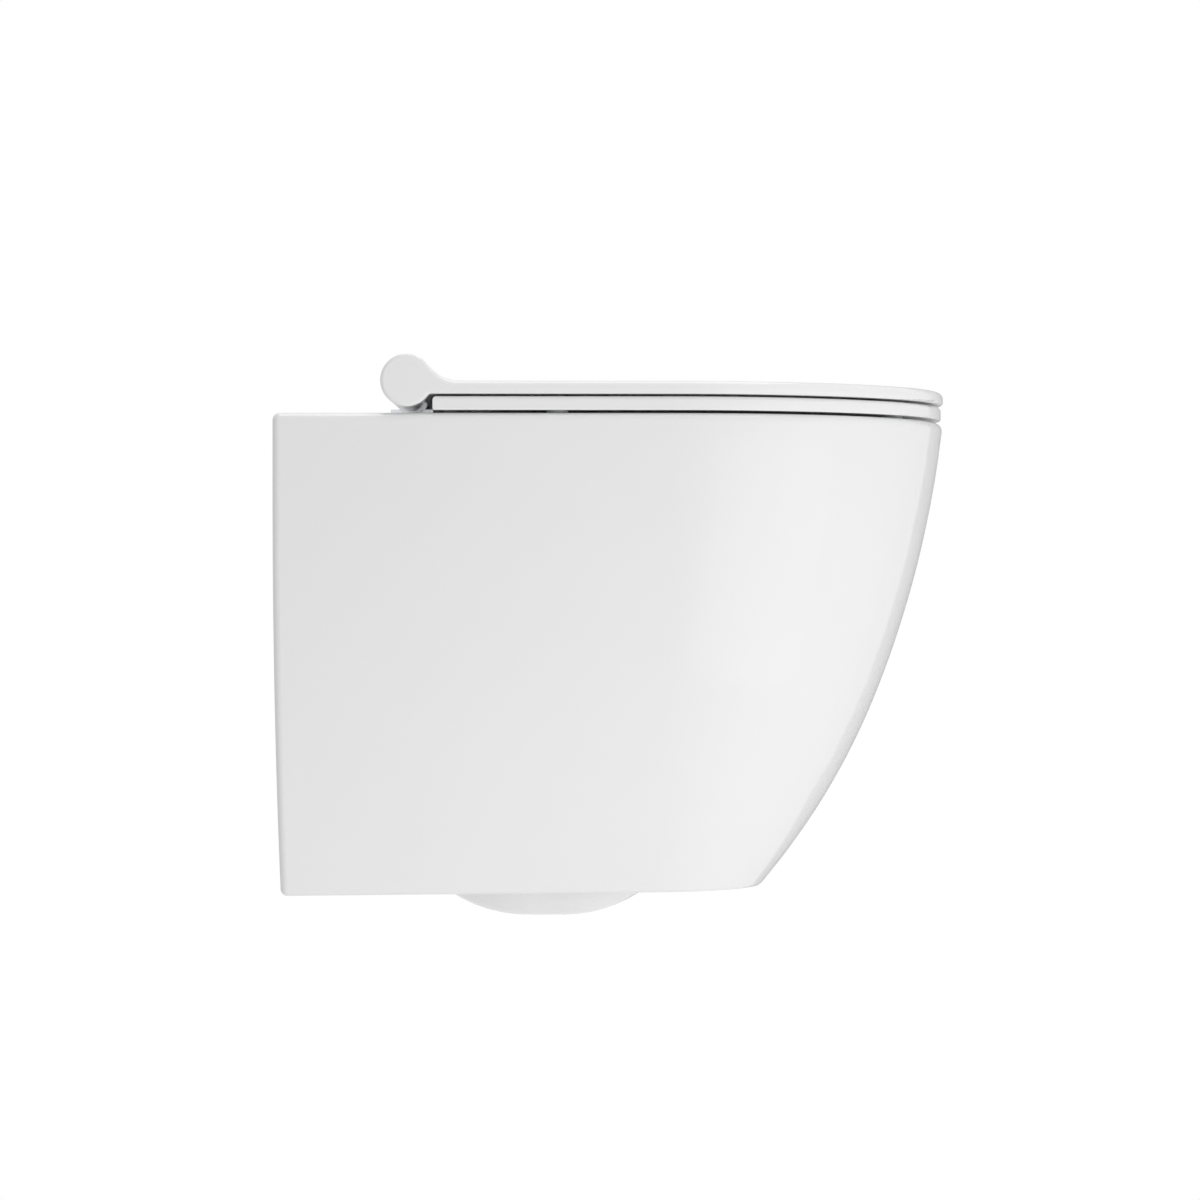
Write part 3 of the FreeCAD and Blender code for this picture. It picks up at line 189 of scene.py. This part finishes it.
def add(tree, kind, inputs=None, **settings):
    """Add a shader node with its settings, and give its inputs values or other nodes' outputs.

    An input is found by its name, or by its number where several share a name.
    """
    node = tree.nodes.new("ShaderNode" + kind)
    for name, value in settings.items():
        setattr(node, name, value)
    for name, value in (inputs or {}).items():
        if isinstance(value, bpy.types.NodeSocket):
            tree.links.new(value, node.inputs[name])
        else:
            node.inputs[name].default_value = value
    return node


def new_material(name):
    """A material, its tree and its Object coordinates, which run in metres from the fixings."""
    material = bpy.data.materials.new(name)
    material.use_nodes = True
    tree = material.node_tree
    tree.nodes.clear()
    return material, tree, add(tree, "TexCoord").outputs["Object"]


def per_size(millimetres):
    """The texture scale at which one feature is about this many millimetres across."""
    return 1 / (millimetres * MM)


def darker(shade, share):
    """The same colour with only this share of its light."""
    return (*(channel * share for channel in shade[:3]), 1.0)


# ---------------------------------------------------------------- finishes of the pan and seat

def glazed_vitreous_china(finish):
    """Slip-cast vitreous china, spray glazed and fired.

    The glaze is thick and glassy: a sharp reflection that wavers a little over some centimetres,
    a very faint orange peel, and a colour that is a touch deeper where it pools. The face against
    the wall is wiped before the firing, so it shows the bare, matt, speckled biscuit.
    """
    material, tree, place = new_material("glazed_vitreous_china")
    pools = add(tree, "TexNoise", {"Vector": place, "Scale": per_size(60)}).outputs["Fac"]
    glaze = add(tree, "Mix", {"Factor": pools, MIX_A: darker(finish.glaze, share=0.985),
                              MIX_B: finish.glaze}, data_type="RGBA").outputs[MIX_RESULT]
    specks = add(tree, "TexNoise",
                 {"Vector": place, "Scale": per_size(1.2), "Detail": 4}).outputs["Fac"]
    biscuit = add(tree, "Mix", {"Factor": specks, MIX_A: darker(finish.biscuit, share=0.94),
                                MIX_B: finish.biscuit}, data_type="RGBA").outputs[MIX_RESULT]
    from_wall = add(tree, "SeparateXYZ", {"Vector": place}).outputs["Y"]
    bare = add(tree, "MapRange", {"Value": from_wall, "From Min": -0.9 * MM,
                                  "From Max": -0.3 * MM}).outputs["Result"]
    base = add(tree, "Mix", {"Factor": bare, MIX_A: glaze, MIX_B: biscuit},
               data_type="RGBA").outputs[MIX_RESULT]
    haze = add(tree, "TexNoise", {"Vector": place, "Scale": per_size(9)}).outputs["Fac"]
    gloss = add(tree, "MapRange", {"Value": haze, "To Min": 0.05, "To Max": 0.085})
    rough = add(tree, "Mix", {"Factor": bare, "A": gloss.outputs["Result"], "B": 0.72},
                data_type="FLOAT").outputs["Result"]
    swell = add(tree, "TexNoise", {"Vector": place, "Scale": per_size(38)}).outputs["Fac"]
    waves = add(tree, "Bump", {"Height": swell, "Distance": 0.1 * MM}).outputs["Normal"]
    pips = add(tree, "TexNoise", {"Vector": place, "Scale": per_size(2.4)}).outputs["Fac"]
    peel = add(tree, "Bump", {"Height": pips, "Distance": 0.0025 * MM, "Normal": waves})
    shader = add(tree, "BsdfPrincipled", {"Base Color": base, "Roughness": rough,
                                          "Normal": peel.outputs["Normal"], "IOR": 1.52})
    add(tree, "OutputMaterial", {"Surface": shader.outputs["BSDF"]})
    return material


def polished_urea_plastic(finish):
    """Compression moulded urea plastic, buffed after moulding.

    It is as white as the pan and nearly as glossy, with the short, fine waviness of a polished
    steel mould and a faintly uneven gloss from the buffing.
    """
    material, tree, place = new_material("polished_urea_plastic")
    clouds = add(tree, "TexNoise", {"Vector": place, "Scale": per_size(45)}).outputs["Fac"]
    base = add(tree, "Mix", {"Factor": clouds, MIX_A: darker(finish.seat, share=0.99),
                             MIX_B: finish.seat}, data_type="RGBA").outputs[MIX_RESULT]
    buffing = add(tree, "TexNoise",
                  {"Vector": place, "Scale": per_size(5), "Detail": 4}).outputs["Fac"]
    gloss = add(tree, "MapRange", {"Value": buffing, "To Min": 0.09, "To Max": 0.14})
    swell = add(tree, "TexNoise", {"Vector": place, "Scale": per_size(22)}).outputs["Fac"]
    waves = add(tree, "Bump", {"Height": swell, "Distance": 0.04 * MM}).outputs["Normal"]
    pips = add(tree, "TexNoise", {"Vector": place, "Scale": per_size(1.6)}).outputs["Fac"]
    peel = add(tree, "Bump", {"Height": pips, "Distance": 0.0015 * MM, "Normal": waves})
    shader = add(tree, "BsdfPrincipled", {"Base Color": base, "Roughness": gloss.outputs["Result"],
                                          "Normal": peel.outputs["Normal"], "IOR": 1.5})
    add(tree, "OutputMaterial", {"Surface": shader.outputs["BSDF"]})
    return material


# ---------------------------------------------------------------- finishes of the metal pieces

def chrome_plated_zinc(finish):
    """Die-cast zinc, polished and chrome plated: mirror bright, slightly blue, barely wavy."""
    material, tree, place = new_material("chrome_plated_zinc")
    polish = add(tree, "TexNoise",
                 {"Vector": place, "Scale": per_size(1.5), "Detail": 4}).outputs["Fac"]
    gloss = add(tree, "MapRange", {"Value": polish, "To Min": 0.04, "To Max": 0.1})
    swell = add(tree, "TexNoise", {"Vector": place, "Scale": per_size(7)}).outputs["Fac"]
    waves = add(tree, "Bump", {"Height": swell, "Distance": 0.008 * MM})
    shader = add(tree, "BsdfPrincipled",
                 {"Base Color": finish.chrome, "Metallic": 1.0,
                  "Roughness": gloss.outputs["Result"], "Normal": waves.outputs["Normal"]})
    add(tree, "OutputMaterial", {"Surface": shader.outputs["BSDF"]})
    return material


def ground_stainless_steel(finish):
    """Centreless ground stainless bar: a soft sheen with a fine, uneven grain.

    The real grain is finer; it is drawn as coarse as it needs to be to show.
    """
    material, tree, place = new_material("ground_stainless_steel")
    grind = add(tree, "TexNoise",
                {"Vector": place, "Scale": per_size(0.5), "Detail": 3}).outputs["Fac"]
    base = add(tree, "Mix", {"Factor": grind, MIX_A: darker(finish.steel, share=0.9),
                             MIX_B: finish.steel}, data_type="RGBA").outputs[MIX_RESULT]
    gloss = add(tree, "MapRange", {"Value": grind, "To Min": 0.22, "To Max": 0.36})
    skin = add(tree, "Bump", {"Height": grind, "Distance": 0.003 * MM})
    shader = add(tree, "BsdfPrincipled",
                 {"Base Color": base, "Metallic": 1.0, "Roughness": gloss.outputs["Result"],
                  "Normal": skin.outputs["Normal"]})
    add(tree, "OutputMaterial", {"Surface": shader.outputs["BSDF"]})
    return material


def zinc_plated_steel(finish):
    """Pressed and turned steel, bright zinc plated: greyish blue, cloudy, softly glossy.

    The pits of the plating are drawn coarser than they are, so that they show.
    """
    material, tree, place = new_material("zinc_plated_steel")
    clouds = add(tree, "TexNoise",
                 {"Vector": place, "Scale": per_size(4), "Detail": 4}).outputs["Fac"]
    base = add(tree, "Mix", {"Factor": clouds, MIX_A: darker(finish.zinc, share=0.86),
                             MIX_B: finish.zinc}, data_type="RGBA").outputs[MIX_RESULT]
    gloss = add(tree, "MapRange", {"Value": clouds, "To Min": 0.26, "To Max": 0.44})
    pits = add(tree, "TexNoise", {"Vector": place, "Scale": per_size(0.7)}).outputs["Fac"]
    skin = add(tree, "Bump", {"Height": pits, "Distance": 0.006 * MM})
    shader = add(tree, "BsdfPrincipled",
                 {"Base Color": base, "Metallic": 1.0, "Roughness": gloss.outputs["Result"],
                  "Normal": skin.outputs["Normal"]})
    add(tree, "OutputMaterial", {"Surface": shader.outputs["BSDF"]})
    return material


def blackened_steel(finish):
    """Hardened screw steel, blackened and oiled: nearly black, satin."""
    material, tree, place = new_material("blackened_steel")
    oil = add(tree, "TexNoise",
              {"Vector": place, "Scale": per_size(0.8), "Detail": 3}).outputs["Fac"]
    gloss = add(tree, "MapRange", {"Value": oil, "To Min": 0.34, "To Max": 0.5})
    shader = add(tree, "BsdfPrincipled", {"Base Color": finish.blackened, "Metallic": 0.7,
                                          "Roughness": gloss.outputs["Result"]})
    add(tree, "OutputMaterial", {"Surface": shader.outputs["BSDF"]})
    return material


# ---------------------------------------------------------------- finishes of the moulded pieces

def moulded_plastic(name, shade, rough, grit, depth, glow=0.0):
    """A moulded plastic or rubber, whose skin and gloss show the texture of its blasted mould.

    Grit and depth are that texture's width and height in millimetres, drawn coarser than they
    are so that they show. The colour is faintly clouded, and glow is the share of light that goes
    in and comes out a little way off.
    """
    material, tree, place = new_material(name)
    clouds = add(tree, "TexNoise", {"Vector": place, "Scale": per_size(8)}).outputs["Fac"]
    base = add(tree, "Mix", {"Factor": clouds, MIX_A: darker(shade, share=0.94), MIX_B: shade},
               data_type="RGBA").outputs[MIX_RESULT]
    texture = add(tree, "TexNoise",
                  {"Vector": place, "Scale": per_size(grit), "Detail": 3}).outputs["Fac"]
    uneven = 0.06
    gloss = add(tree, "MapRange",
                {"Value": texture, "To Min": rough - uneven, "To Max": rough + uneven})
    skin = add(tree, "Bump", {"Height": texture, "Distance": depth * MM})
    shader = add(tree, "BsdfPrincipled",
                 {"Base Color": base, "Roughness": gloss.outputs["Result"], "IOR": 1.5,
                  "Normal": skin.outputs["Normal"], "Subsurface Weight": glow,
                  "Subsurface Scale": 2 * MM})
    add(tree, "OutputMaterial", {"Surface": shader.outputs["BSDF"]})
    return material


def moulded_acetal(finish):
    """Injection moulded acetal of the damper housings: grey, satin, very even."""
    return moulded_plastic("moulded_acetal", finish.acetal, rough=0.36, grit=0.6, depth=0.006)


def natural_acetal(finish):
    """Unpigmented acetal of the damper rotors: milky white and satin."""
    return moulded_plastic("natural_acetal", finish.rotor, rough=0.34, grit=0.6, depth=0.005,
                           glow=0.15)


def moulded_nylon(finish):
    """Unpigmented nylon: warm white, slightly see-through in thin wings, satin."""
    return moulded_plastic("moulded_nylon", finish.nylon, rough=0.42, grit=0.8, depth=0.01,
                           glow=0.2)


def milky_elastomer(finish):
    """Moulded thermoplastic rubber of the buffers: milky and dull, light shines into it."""
    return moulded_plastic("milky_elastomer", finish.milky_rubber, rough=0.5, grit=1.0,
                           depth=0.012, glow=0.35)


def black_moulded_rubber(finish):
    """Moulded black rubber: matt, with the fine grain of a blasted mould."""
    return moulded_plastic("black_moulded_rubber", finish.black_rubber, rough=0.66, grit=0.9,
                           depth=0.02)


def paint(material, *names):
    """Give CAD nodes a material."""
    for name in names:
        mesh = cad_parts[name].data
        mesh.materials.clear()
        mesh.materials.append(material)


# ---------------------------------------------------------------- fine pieces

def separate_solids(name):
    """The lowest and highest corners of each separate solid of a CAD node."""
    shape = bmesh.new()
    shape.from_mesh(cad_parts[name].data)
    bmesh.ops.remove_doubles(shape, verts=shape.verts, dist=WELD)
    left = set(shape.verts)
    boxes = []
    while left:
        solid = newest = {left.pop()}
        while newest:
            newest = {edge.other_vert(vert) for vert in newest for edge in vert.link_edges} & left
            left -= newest
            solid = solid | newest
        corners = [vert.co for vert in solid]
        boxes.append((Vector(map(min, zip(*corners))), Vector(map(max, zip(*corners)))))
    shape.free()
    return sorted(boxes, key=lambda box: box[0].to_tuple(SORT_DECIMALS))


def rod(shape, radius, depth, segments, place, turn=Matrix()):
    """Add a closed round rod, upright unless it is turned, and give its corners."""
    made = bmesh.ops.create_cone(
        shape, cap_ends=True, segments=segments, radius1=radius, radius2=radius, depth=depth,
        matrix=Matrix.Translation(place) @ turn)
    return made["verts"]


def soften(shape, edges, offset, steps=EDGE_STEPS):
    """Round some edges."""
    bmesh.ops.bevel(shape, geom=edges, offset=offset, offset_type="OFFSET", segments=steps,
                    profile=0.5, affect="EDGES", material=-1)


def end_face(shape, verts, axis, way):
    """The face of a new solid that lies furthest along an axis, forwards (1) or back (-1)."""
    return max({face for vert in verts for face in vert.link_faces},
               key=lambda face: way * face.calc_center_median()[axis])


def add_buffer(shape, box, detail):
    """A buffer: a flat button with a rounded face underneath and a small gate mark."""
    low, high = box
    radius = (high.x - low.x) / 2
    verts = rod(shape, radius, high.z - low.z, detail.segments, (low + high) / 2)
    face = end_face(shape, verts, Z, -1)
    rim = list(face.edges)
    bmesh.ops.inset_individual(shape, faces=[face], thickness=radius - detail.buffer_dimple)
    bmesh.ops.inset_individual(shape, faces=[face], thickness=detail.buffer_sink,
                               depth=-detail.buffer_sink)
    soften(shape, rim, detail.buffer_edge, BUFFER_STEPS)


def add_threaded_stud(shape, box, detail):
    """A stud with a real thread: one turn of its profile, repeated up the stud, cut to length.

    The thread is flat for an eighth of a pitch at its root and at its crest.
    """
    low, high = box
    middle = (low + high) / 2
    crest = (high.x - low.x) / 2
    root = crest - detail.thread_depth
    pitch = detail.thread_pitch
    flat = pitch / 8
    start = low.z - LEAD_TURNS * pitch
    profile = ((root, 0), (root, flat), (crest, pitch / 2), (crest, pitch / 2 + flat),
               (root, pitch))
    corners = [shape.verts.new((middle.x + radius, middle.y, start + rise))
               for radius, rise in profile]
    edges = [shape.edges.new(pair) for pair in zip(corners, corners[1:])]
    steps = detail.segments // 2
    bmesh.ops.spin(shape, geom=corners + edges, cent=(middle.x, middle.y, 0), axis=(0, 0, 1),
                   dvec=(0, 0, pitch / steps), angle=math.tau, steps=steps,
                   use_merge=False, use_duplicate=False)
    one_turn = shape.verts[:] + shape.edges[:] + shape.faces[:]
    for number in range(1, math.ceil((high.z - low.z) / pitch) + 2 * LEAD_TURNS):
        copy = bmesh.ops.duplicate(shape, geom=one_turn)["geom"]
        bmesh.ops.translate(shape, vec=(0, 0, number * pitch),
                            verts=[part for part in copy if isinstance(part, bmesh.types.BMVert)])
    bmesh.ops.remove_doubles(shape, verts=shape.verts, dist=WELD)
    for level, way in ((low.z, -1), (high.z, 1)):
        cut = bmesh.ops.bisect_plane(
            shape, geom=shape.verts[:] + shape.edges[:] + shape.faces[:], dist=ON_CUT,
            plane_co=(0, 0, level), plane_no=(0, 0, way), clear_outer=True)
        ends = [piece for piece in cut["geom_cut"] if isinstance(piece, bmesh.types.BMEdge)]
        bmesh.ops.edgeloop_fill(shape, edges=ends)


def add_wing_nut(shape, box, detail):
    """A moulded wing nut: a rounded hub with its bore and two tapered wings."""
    low, high = box
    middle = (low + high) / 2
    hub, bore = detail.hub_radius, detail.stud_bore
    corners = [shape.verts.new((middle.x + radius, middle.y, height))
               for radius, height in ((bore, low.z), (hub, low.z), (hub, high.z), (bore, high.z))]
    edges = [shape.edges.new(pair) for pair in zip(corners, corners[1:] + corners[:1])]
    bmesh.ops.spin(shape, geom=corners + edges, cent=(middle.x, middle.y, 0), axis=(0, 0, 1),
                   angle=math.tau, steps=detail.segments, use_merge=True, use_duplicate=False)
    rims = [edge for edge in shape.edges
            if all(abs((vert.co - middle).xy.length - hub) < WELD for vert in edge.verts)
            and abs(edge.verts[0].co.z - edge.verts[1].co.z) < WELD]
    soften(shape, rims, detail.hub_edge)
    for way, outer in ((1, high.x), (-1, low.x)):
        inner = middle.x + way * (hub + bore) / 2
        wing = bmesh.ops.create_cube(shape, size=1)["verts"]
        bmesh.ops.scale(shape, verts=wing, vec=(abs(outer - inner), detail.wing_thickness, 1))
        bmesh.ops.translate(shape, verts=wing, vec=((outer + inner) / 2, middle.y, 0))
        for vert in wing:
            at_tip = abs(vert.co.x - inner) > WELD
            height = detail.wing_tip if at_tip else detail.wing_root
            vert.co.z = low.z + height if vert.co.z > 0 else low.z
        wing_edges = [edge for edge in shape.edges if all(vert in wing for vert in edge.verts)]
        soften(shape, wing_edges, detail.wing_edge)


def add_grub_screw(shape, box, detail):
    """A grub screw with its hexagon socket in the end that faces the wall."""
    low, high = box
    middle = (low + high) / 2
    radius = (high.x - low.x) / 2
    verts = rod(shape, radius, high.y - low.y, detail.segments, middle,
                Matrix.Rotation(QUARTER, 4, "X"))
    face = end_face(shape, verts, Y, 1)
    bmesh.ops.inset_individual(shape, faces=[face],
                               thickness=radius - detail.socket / math.sqrt(3))
    for vert in face.verts:
        across = vert.co - middle
        from_flat = math.atan2(across.z, across.x) % SIXTH - SIXTH / 2
        reach = detail.socket / 2 / math.cos(from_flat) / across.xz.length
        vert.co.x = middle.x + across.x * reach
        vert.co.z = middle.z + across.z * reach
    bmesh.ops.inset_individual(shape, faces=[face], thickness=0, depth=-detail.socket_depth)


def make_group(name, node, body, material, add_one):
    """A piece that stands for a CAD node, with one fine solid for each of its solids."""
    shape = bmesh.new()
    for box in separate_solids(node):
        add_one(shape, box, bpy.context.scene.toilet_detail)
    bmesh.ops.recalc_face_normals(shape, faces=shape.faces)
    mesh = bpy.data.meshes.new(name)
    shape.to_mesh(mesh)
    shape.free()
    mesh.materials.append(material)
    mesh.shade_smooth()
    mesh.set_sharp_from_angle(angle=SHARP_TURN)
    piece = bpy.data.objects.new(name, mesh)
    bpy.context.scene.collection.objects.link(piece)
    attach(piece, body)
    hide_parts(node)


# ---------------------------------------------------------------- stage

def looked_at(tree):
    """1 where the camera, a reflection or glass looks, and 0 for light that falls on things."""
    path = add(tree, "LightPath").outputs
    seen = add(tree, "Math", {0: path["Is Camera Ray"], 1: path["Is Glossy Ray"]},
               operation="ADD").outputs["Value"]
    return add(tree, "Math", {0: seen, 1: path["Is Transmission Ray"]},
               operation="ADD", use_clamp=True).outputs["Value"]


def painted_studio_floor(stage):
    """Matt white studio paint, rolled on: no gloss and a faint, soft mottle.

    Where it is looked at it is mostly plain white, so that it fades into the surround. The sheet
    is clear from underneath, so that views from below the floor show the object.
    """
    material, tree, place = new_material("painted_studio_floor")
    mottle = add(tree, "TexNoise", {"Vector": place, "Scale": per_size(140)}).outputs["Fac"]
    base = add(tree, "Mix", {"Factor": mottle, MIX_A: darker(stage.floor, share=0.985),
                             MIX_B: stage.floor}, data_type="RGBA").outputs[MIX_RESULT]
    paint_coat = add(tree, "BsdfDiffuse", {"Color": base}).outputs["BSDF"]
    white = add(tree, "Emission", {"Strength": 1.0}).outputs["Emission"]
    share = add(tree, "MapRange", {"Value": looked_at(tree), "To Max": stage.floor_white})
    seen = add(tree, "MixShader", {0: share.outputs["Result"], 1: paint_coat, 2: white})
    underneath = add(tree, "NewGeometry").outputs["Backfacing"]
    clear = add(tree, "BsdfTransparent").outputs["BSDF"]
    shader = add(tree, "MixShader", {0: underneath, 1: seen.outputs["Shader"], 2: clear})
    add(tree, "OutputMaterial", {"Surface": shader.outputs["Shader"]})
    return material


def grey_background_paper(stage):
    """Matt grey paper from the roll: drinks light that would wash out a glossy edge."""
    material, tree, place = new_material("grey_background_paper")
    fibres = add(tree, "TexNoise",
                 {"Vector": place, "Scale": per_size(3), "Detail": 4}).outputs["Fac"]
    base = add(tree, "Mix", {"Factor": fibres, MIX_A: darker(stage.screen, share=0.97),
                             MIX_B: stage.screen}, data_type="RGBA").outputs[MIX_RESULT]
    matt = add(tree, "BsdfDiffuse", {"Color": base})
    add(tree, "OutputMaterial", {"Surface": matt.outputs["BSDF"]})
    return material


def white_surround(daylight):
    """Even white light; plain white wherever the camera or a reflection sees it."""
    world = bpy.data.worlds.new("StudioWorld")
    world.use_nodes = True
    tree = world.node_tree
    tree.nodes.clear()
    strength = add(tree, "MapRange", {"Value": looked_at(tree), "To Min": daylight})
    sky = add(tree, "Background", {"Strength": strength.outputs["Result"], "Color": (1, 1, 1, 1)})
    add(tree, "OutputWorld", {"Surface": sky.outputs["Background"]})
    return world


def level_camera(stage):
    """A camera level with the pan, square to the side that faces -X, with the nose to the right."""
    data = bpy.data.cameras.new("Camera")
    data.lens = stage.lens
    camera = bpy.data.objects.new("Camera", data)
    camera.location = (-stage.camera_distance, -stage.camera_forward, -stage.camera_drop)
    camera.rotation_euler = (QUARTER, 0, -QUARTER)
    bpy.context.scene.collection.objects.link(camera)
    return camera


def soft_box(name, place, aim, width, height, watts, mirrored=True):
    """An area lamp that faces a point; glossy pieces show it only where it is mirrored."""
    data = bpy.data.lights.new(name, "AREA")
    data.shape = "RECTANGLE"
    data.size = width
    data.size_y = height
    data.energy = watts
    lamp = bpy.data.objects.new(name, data)
    lamp.location = place
    lamp.visible_glossy = mirrored
    lamp.rotation_euler = (Vector(aim) - Vector(place)).to_track_quat("-Z", "Y").to_euler()
    bpy.context.scene.collection.objects.link(lamp)


def sheet(name, width, height, turns, place, material):
    """A flat sheet for the stage, turned about the named axes in order and then placed."""
    flat = bmesh.new()
    bmesh.ops.create_grid(flat, x_segments=1, y_segments=1, size=0.5)
    bmesh.ops.scale(flat, vec=(width, height, 1), verts=flat.verts)
    for axis, angle in turns:
        bmesh.ops.rotate(flat, matrix=Matrix.Rotation(angle, 3, axis), verts=flat.verts)
    bmesh.ops.translate(flat, vec=place, verts=flat.verts)
    mesh = bpy.data.meshes.new(name)
    flat.to_mesh(mesh)
    flat.free()
    mesh.materials.append(material)
    piece = bpy.data.objects.new(name, mesh)
    bpy.context.scene.collection.objects.link(piece)
    return piece


# ---------------------------------------------------------------- operators

class SetStage(bpy.types.Operator):
    """Set the camera, floor, grey screen and lamps in a plain white surround"""

    bl_idname = "toilet.set_stage"
    bl_label = "Stage"

    def execute(self, context):
        stage = context.scene.toilet_stage
        context.scene.view_settings.view_transform = "Standard"
        context.scene.camera = level_camera(stage)
        context.scene.world = white_surround(stage.daylight)
        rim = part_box("ceramic_pan")[1].z
        sheet("floor", stage.floor_size, stage.floor_size, (),
              (0, 0, rim - stage.rim_above_floor), painted_studio_floor(stage))
        screen = sheet("screen", stage.screen_width, stage.screen_height,
                       (("X", QUARTER), ("Z", stage.screen_turn)), stage.screen_place,
                       grey_background_paper(stage))
        screen.visible_camera = False
        screen.visible_shadow = False
        soft_box("key_lamp", stage.key, stage.aim, stage.key_width, stage.key_height,
                 stage.key_power)
        soft_box("side_lamp", stage.side, stage.aim, stage.fill_size, stage.fill_size,
                 stage.side_power, mirrored=False)
        soft_box("low_lamp", stage.low, stage.aim, stage.fill_size, stage.fill_size,
                 stage.low_power, mirrored=False)
        soft_box("top_lamp", stage.top, stage.aim, stage.top_size, stage.top_size,
                 stage.top_power)
        return {"FINISHED"}


class FinishPan(bpy.types.Operator):
    """Glaze the ceramic pan"""

    bl_idname = "toilet.finish_pan"
    bl_label = "Ceramic pan"

    def execute(self, context):
        paint(glazed_vitreous_china(context.scene.toilet_finish), "ceramic_pan")
        return {"FINISHED"}


class FinishSeat(bpy.types.Operator):
    """Finish the seat ring and the lid"""

    bl_idname = "toilet.finish_seat"
    bl_label = "Seat and lid"

    def execute(self, context):
        paint(polished_urea_plastic(context.scene.toilet_finish), "seat_ring", "seat_lid")
        return {"FINISHED"}


class FinishHinge(bpy.types.Operator):
    """Finish the hinge posts, rosettes and pins, and make their threaded studs and grub screws"""

    bl_idname = "toilet.finish_hinge"
    bl_label = "Hinge"

    def execute(self, context):
        finish = context.scene.toilet_finish
        paint(chrome_plated_zinc(finish), "hinge_post_right", "hinge_post_left",
              "hinge_rosette_right", "hinge_rosette_left")
        steel = ground_stainless_steel(finish)
        paint(steel, "hinge_pin_right", "hinge_pin_left")
        for side in ("right", "left"):
            make_group("threaded_stud_" + side, "hinge_stud_" + side, "pan",
                       steel, add_threaded_stud)
        make_group("socket_grub_screws", "post_grub_screws", "pan",
                   blackened_steel(finish), add_grub_screw)
        return {"FINISHED"}


class FinishDampers(bpy.types.Operator):
    """Finish the housings and rotors of the soft-close dampers"""

    bl_idname = "toilet.finish_dampers"
    bl_label = "Dampers"

    def execute(self, context):
        finish = context.scene.toilet_finish
        paint(moulded_acetal(finish), "lid_damper_housing", "ring_damper_housing")
        paint(natural_acetal(finish), "lid_damper_rotor", "ring_damper_rotor")
        return {"FINISHED"}


class FinishFixings(bpy.types.Operator):
    """Finish the bushes, washers, nuts, cones and gaskets, and make the wing nuts and buffers"""

    bl_idname = "toilet.finish_fixings"
    bl_label = "Fixings and buffers"

    def execute(self, context):
        finish = context.scene.toilet_finish
        nylon = moulded_nylon(finish)
        paint(nylon, "wall_bushes", "lid_pivot_bush", "ring_pivot_bush")
        make_group("moulded_wing_nuts", "wing_nuts", "pan", nylon, add_wing_nut)
        paint(zinc_plated_steel(finish), "stud_washers", "wall_washers", "wall_nuts")
        paint(black_moulded_rubber(finish), "stud_cones")
        milky = milky_elastomer(finish)
        paint(milky, "hinge_gaskets")
        for part in ("ring", "lid"):
            make_group("soft_%s_buffers" % part, part + "_buffers", part, milky,
                       add_buffer)
        return {"FINISHED"}


class ToiletPanel(bpy.types.Panel):
    """Lists the steps that dress the toilet, with their sizes and colours"""

    bl_idname = "VIEW3D_PT_toilet"
    bl_label = "Wall Hung Toilet"
    bl_space_type = "VIEW_3D"
    bl_region_type = "UI"
    bl_category = "Toilet"

    def draw(self, context):
        for step in STEPS:
            self.layout.operator(step.bl_idname)
        scene = context.scene
        for group in (scene.toilet_finish, scene.toilet_detail, scene.toilet_stage):
            box = self.layout.box()
            for name in group.__annotations__:
                box.prop(group, name)


STEPS = (SetStage, FinishPan, FinishSeat, FinishHinge, FinishDampers, FinishFixings)
CLASSES = (ToiletFinish, ToiletDetail, ToiletStage, *STEPS, ToiletPanel)


def register():
    """Register the classes and hang the properties on the scene."""
    for kind in CLASSES:
        bpy.utils.register_class(kind)
    bpy.types.Scene.toilet_finish = bpy.props.PointerProperty(type=ToiletFinish)
    bpy.types.Scene.toilet_detail = bpy.props.PointerProperty(type=ToiletDetail)
    bpy.types.Scene.toilet_stage = bpy.props.PointerProperty(type=ToiletStage)


def unregister():
    """Take away what register added."""
    del bpy.types.Scene.toilet_stage
    del bpy.types.Scene.toilet_detail
    del bpy.types.Scene.toilet_finish
    for kind in reversed(CLASSES):
        bpy.utils.unregister_class(kind)


def main():
    """Make the whole scene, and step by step."""
    register()
    bpy.ops.toilet.set_stage()
    bpy.ops.toilet.finish_pan()
    bpy.ops.toilet.finish_seat()
    bpy.ops.toilet.finish_hinge()
    bpy.ops.toilet.finish_dampers()
    bpy.ops.toilet.finish_fixings()


if __name__ == "__main__":
    main()
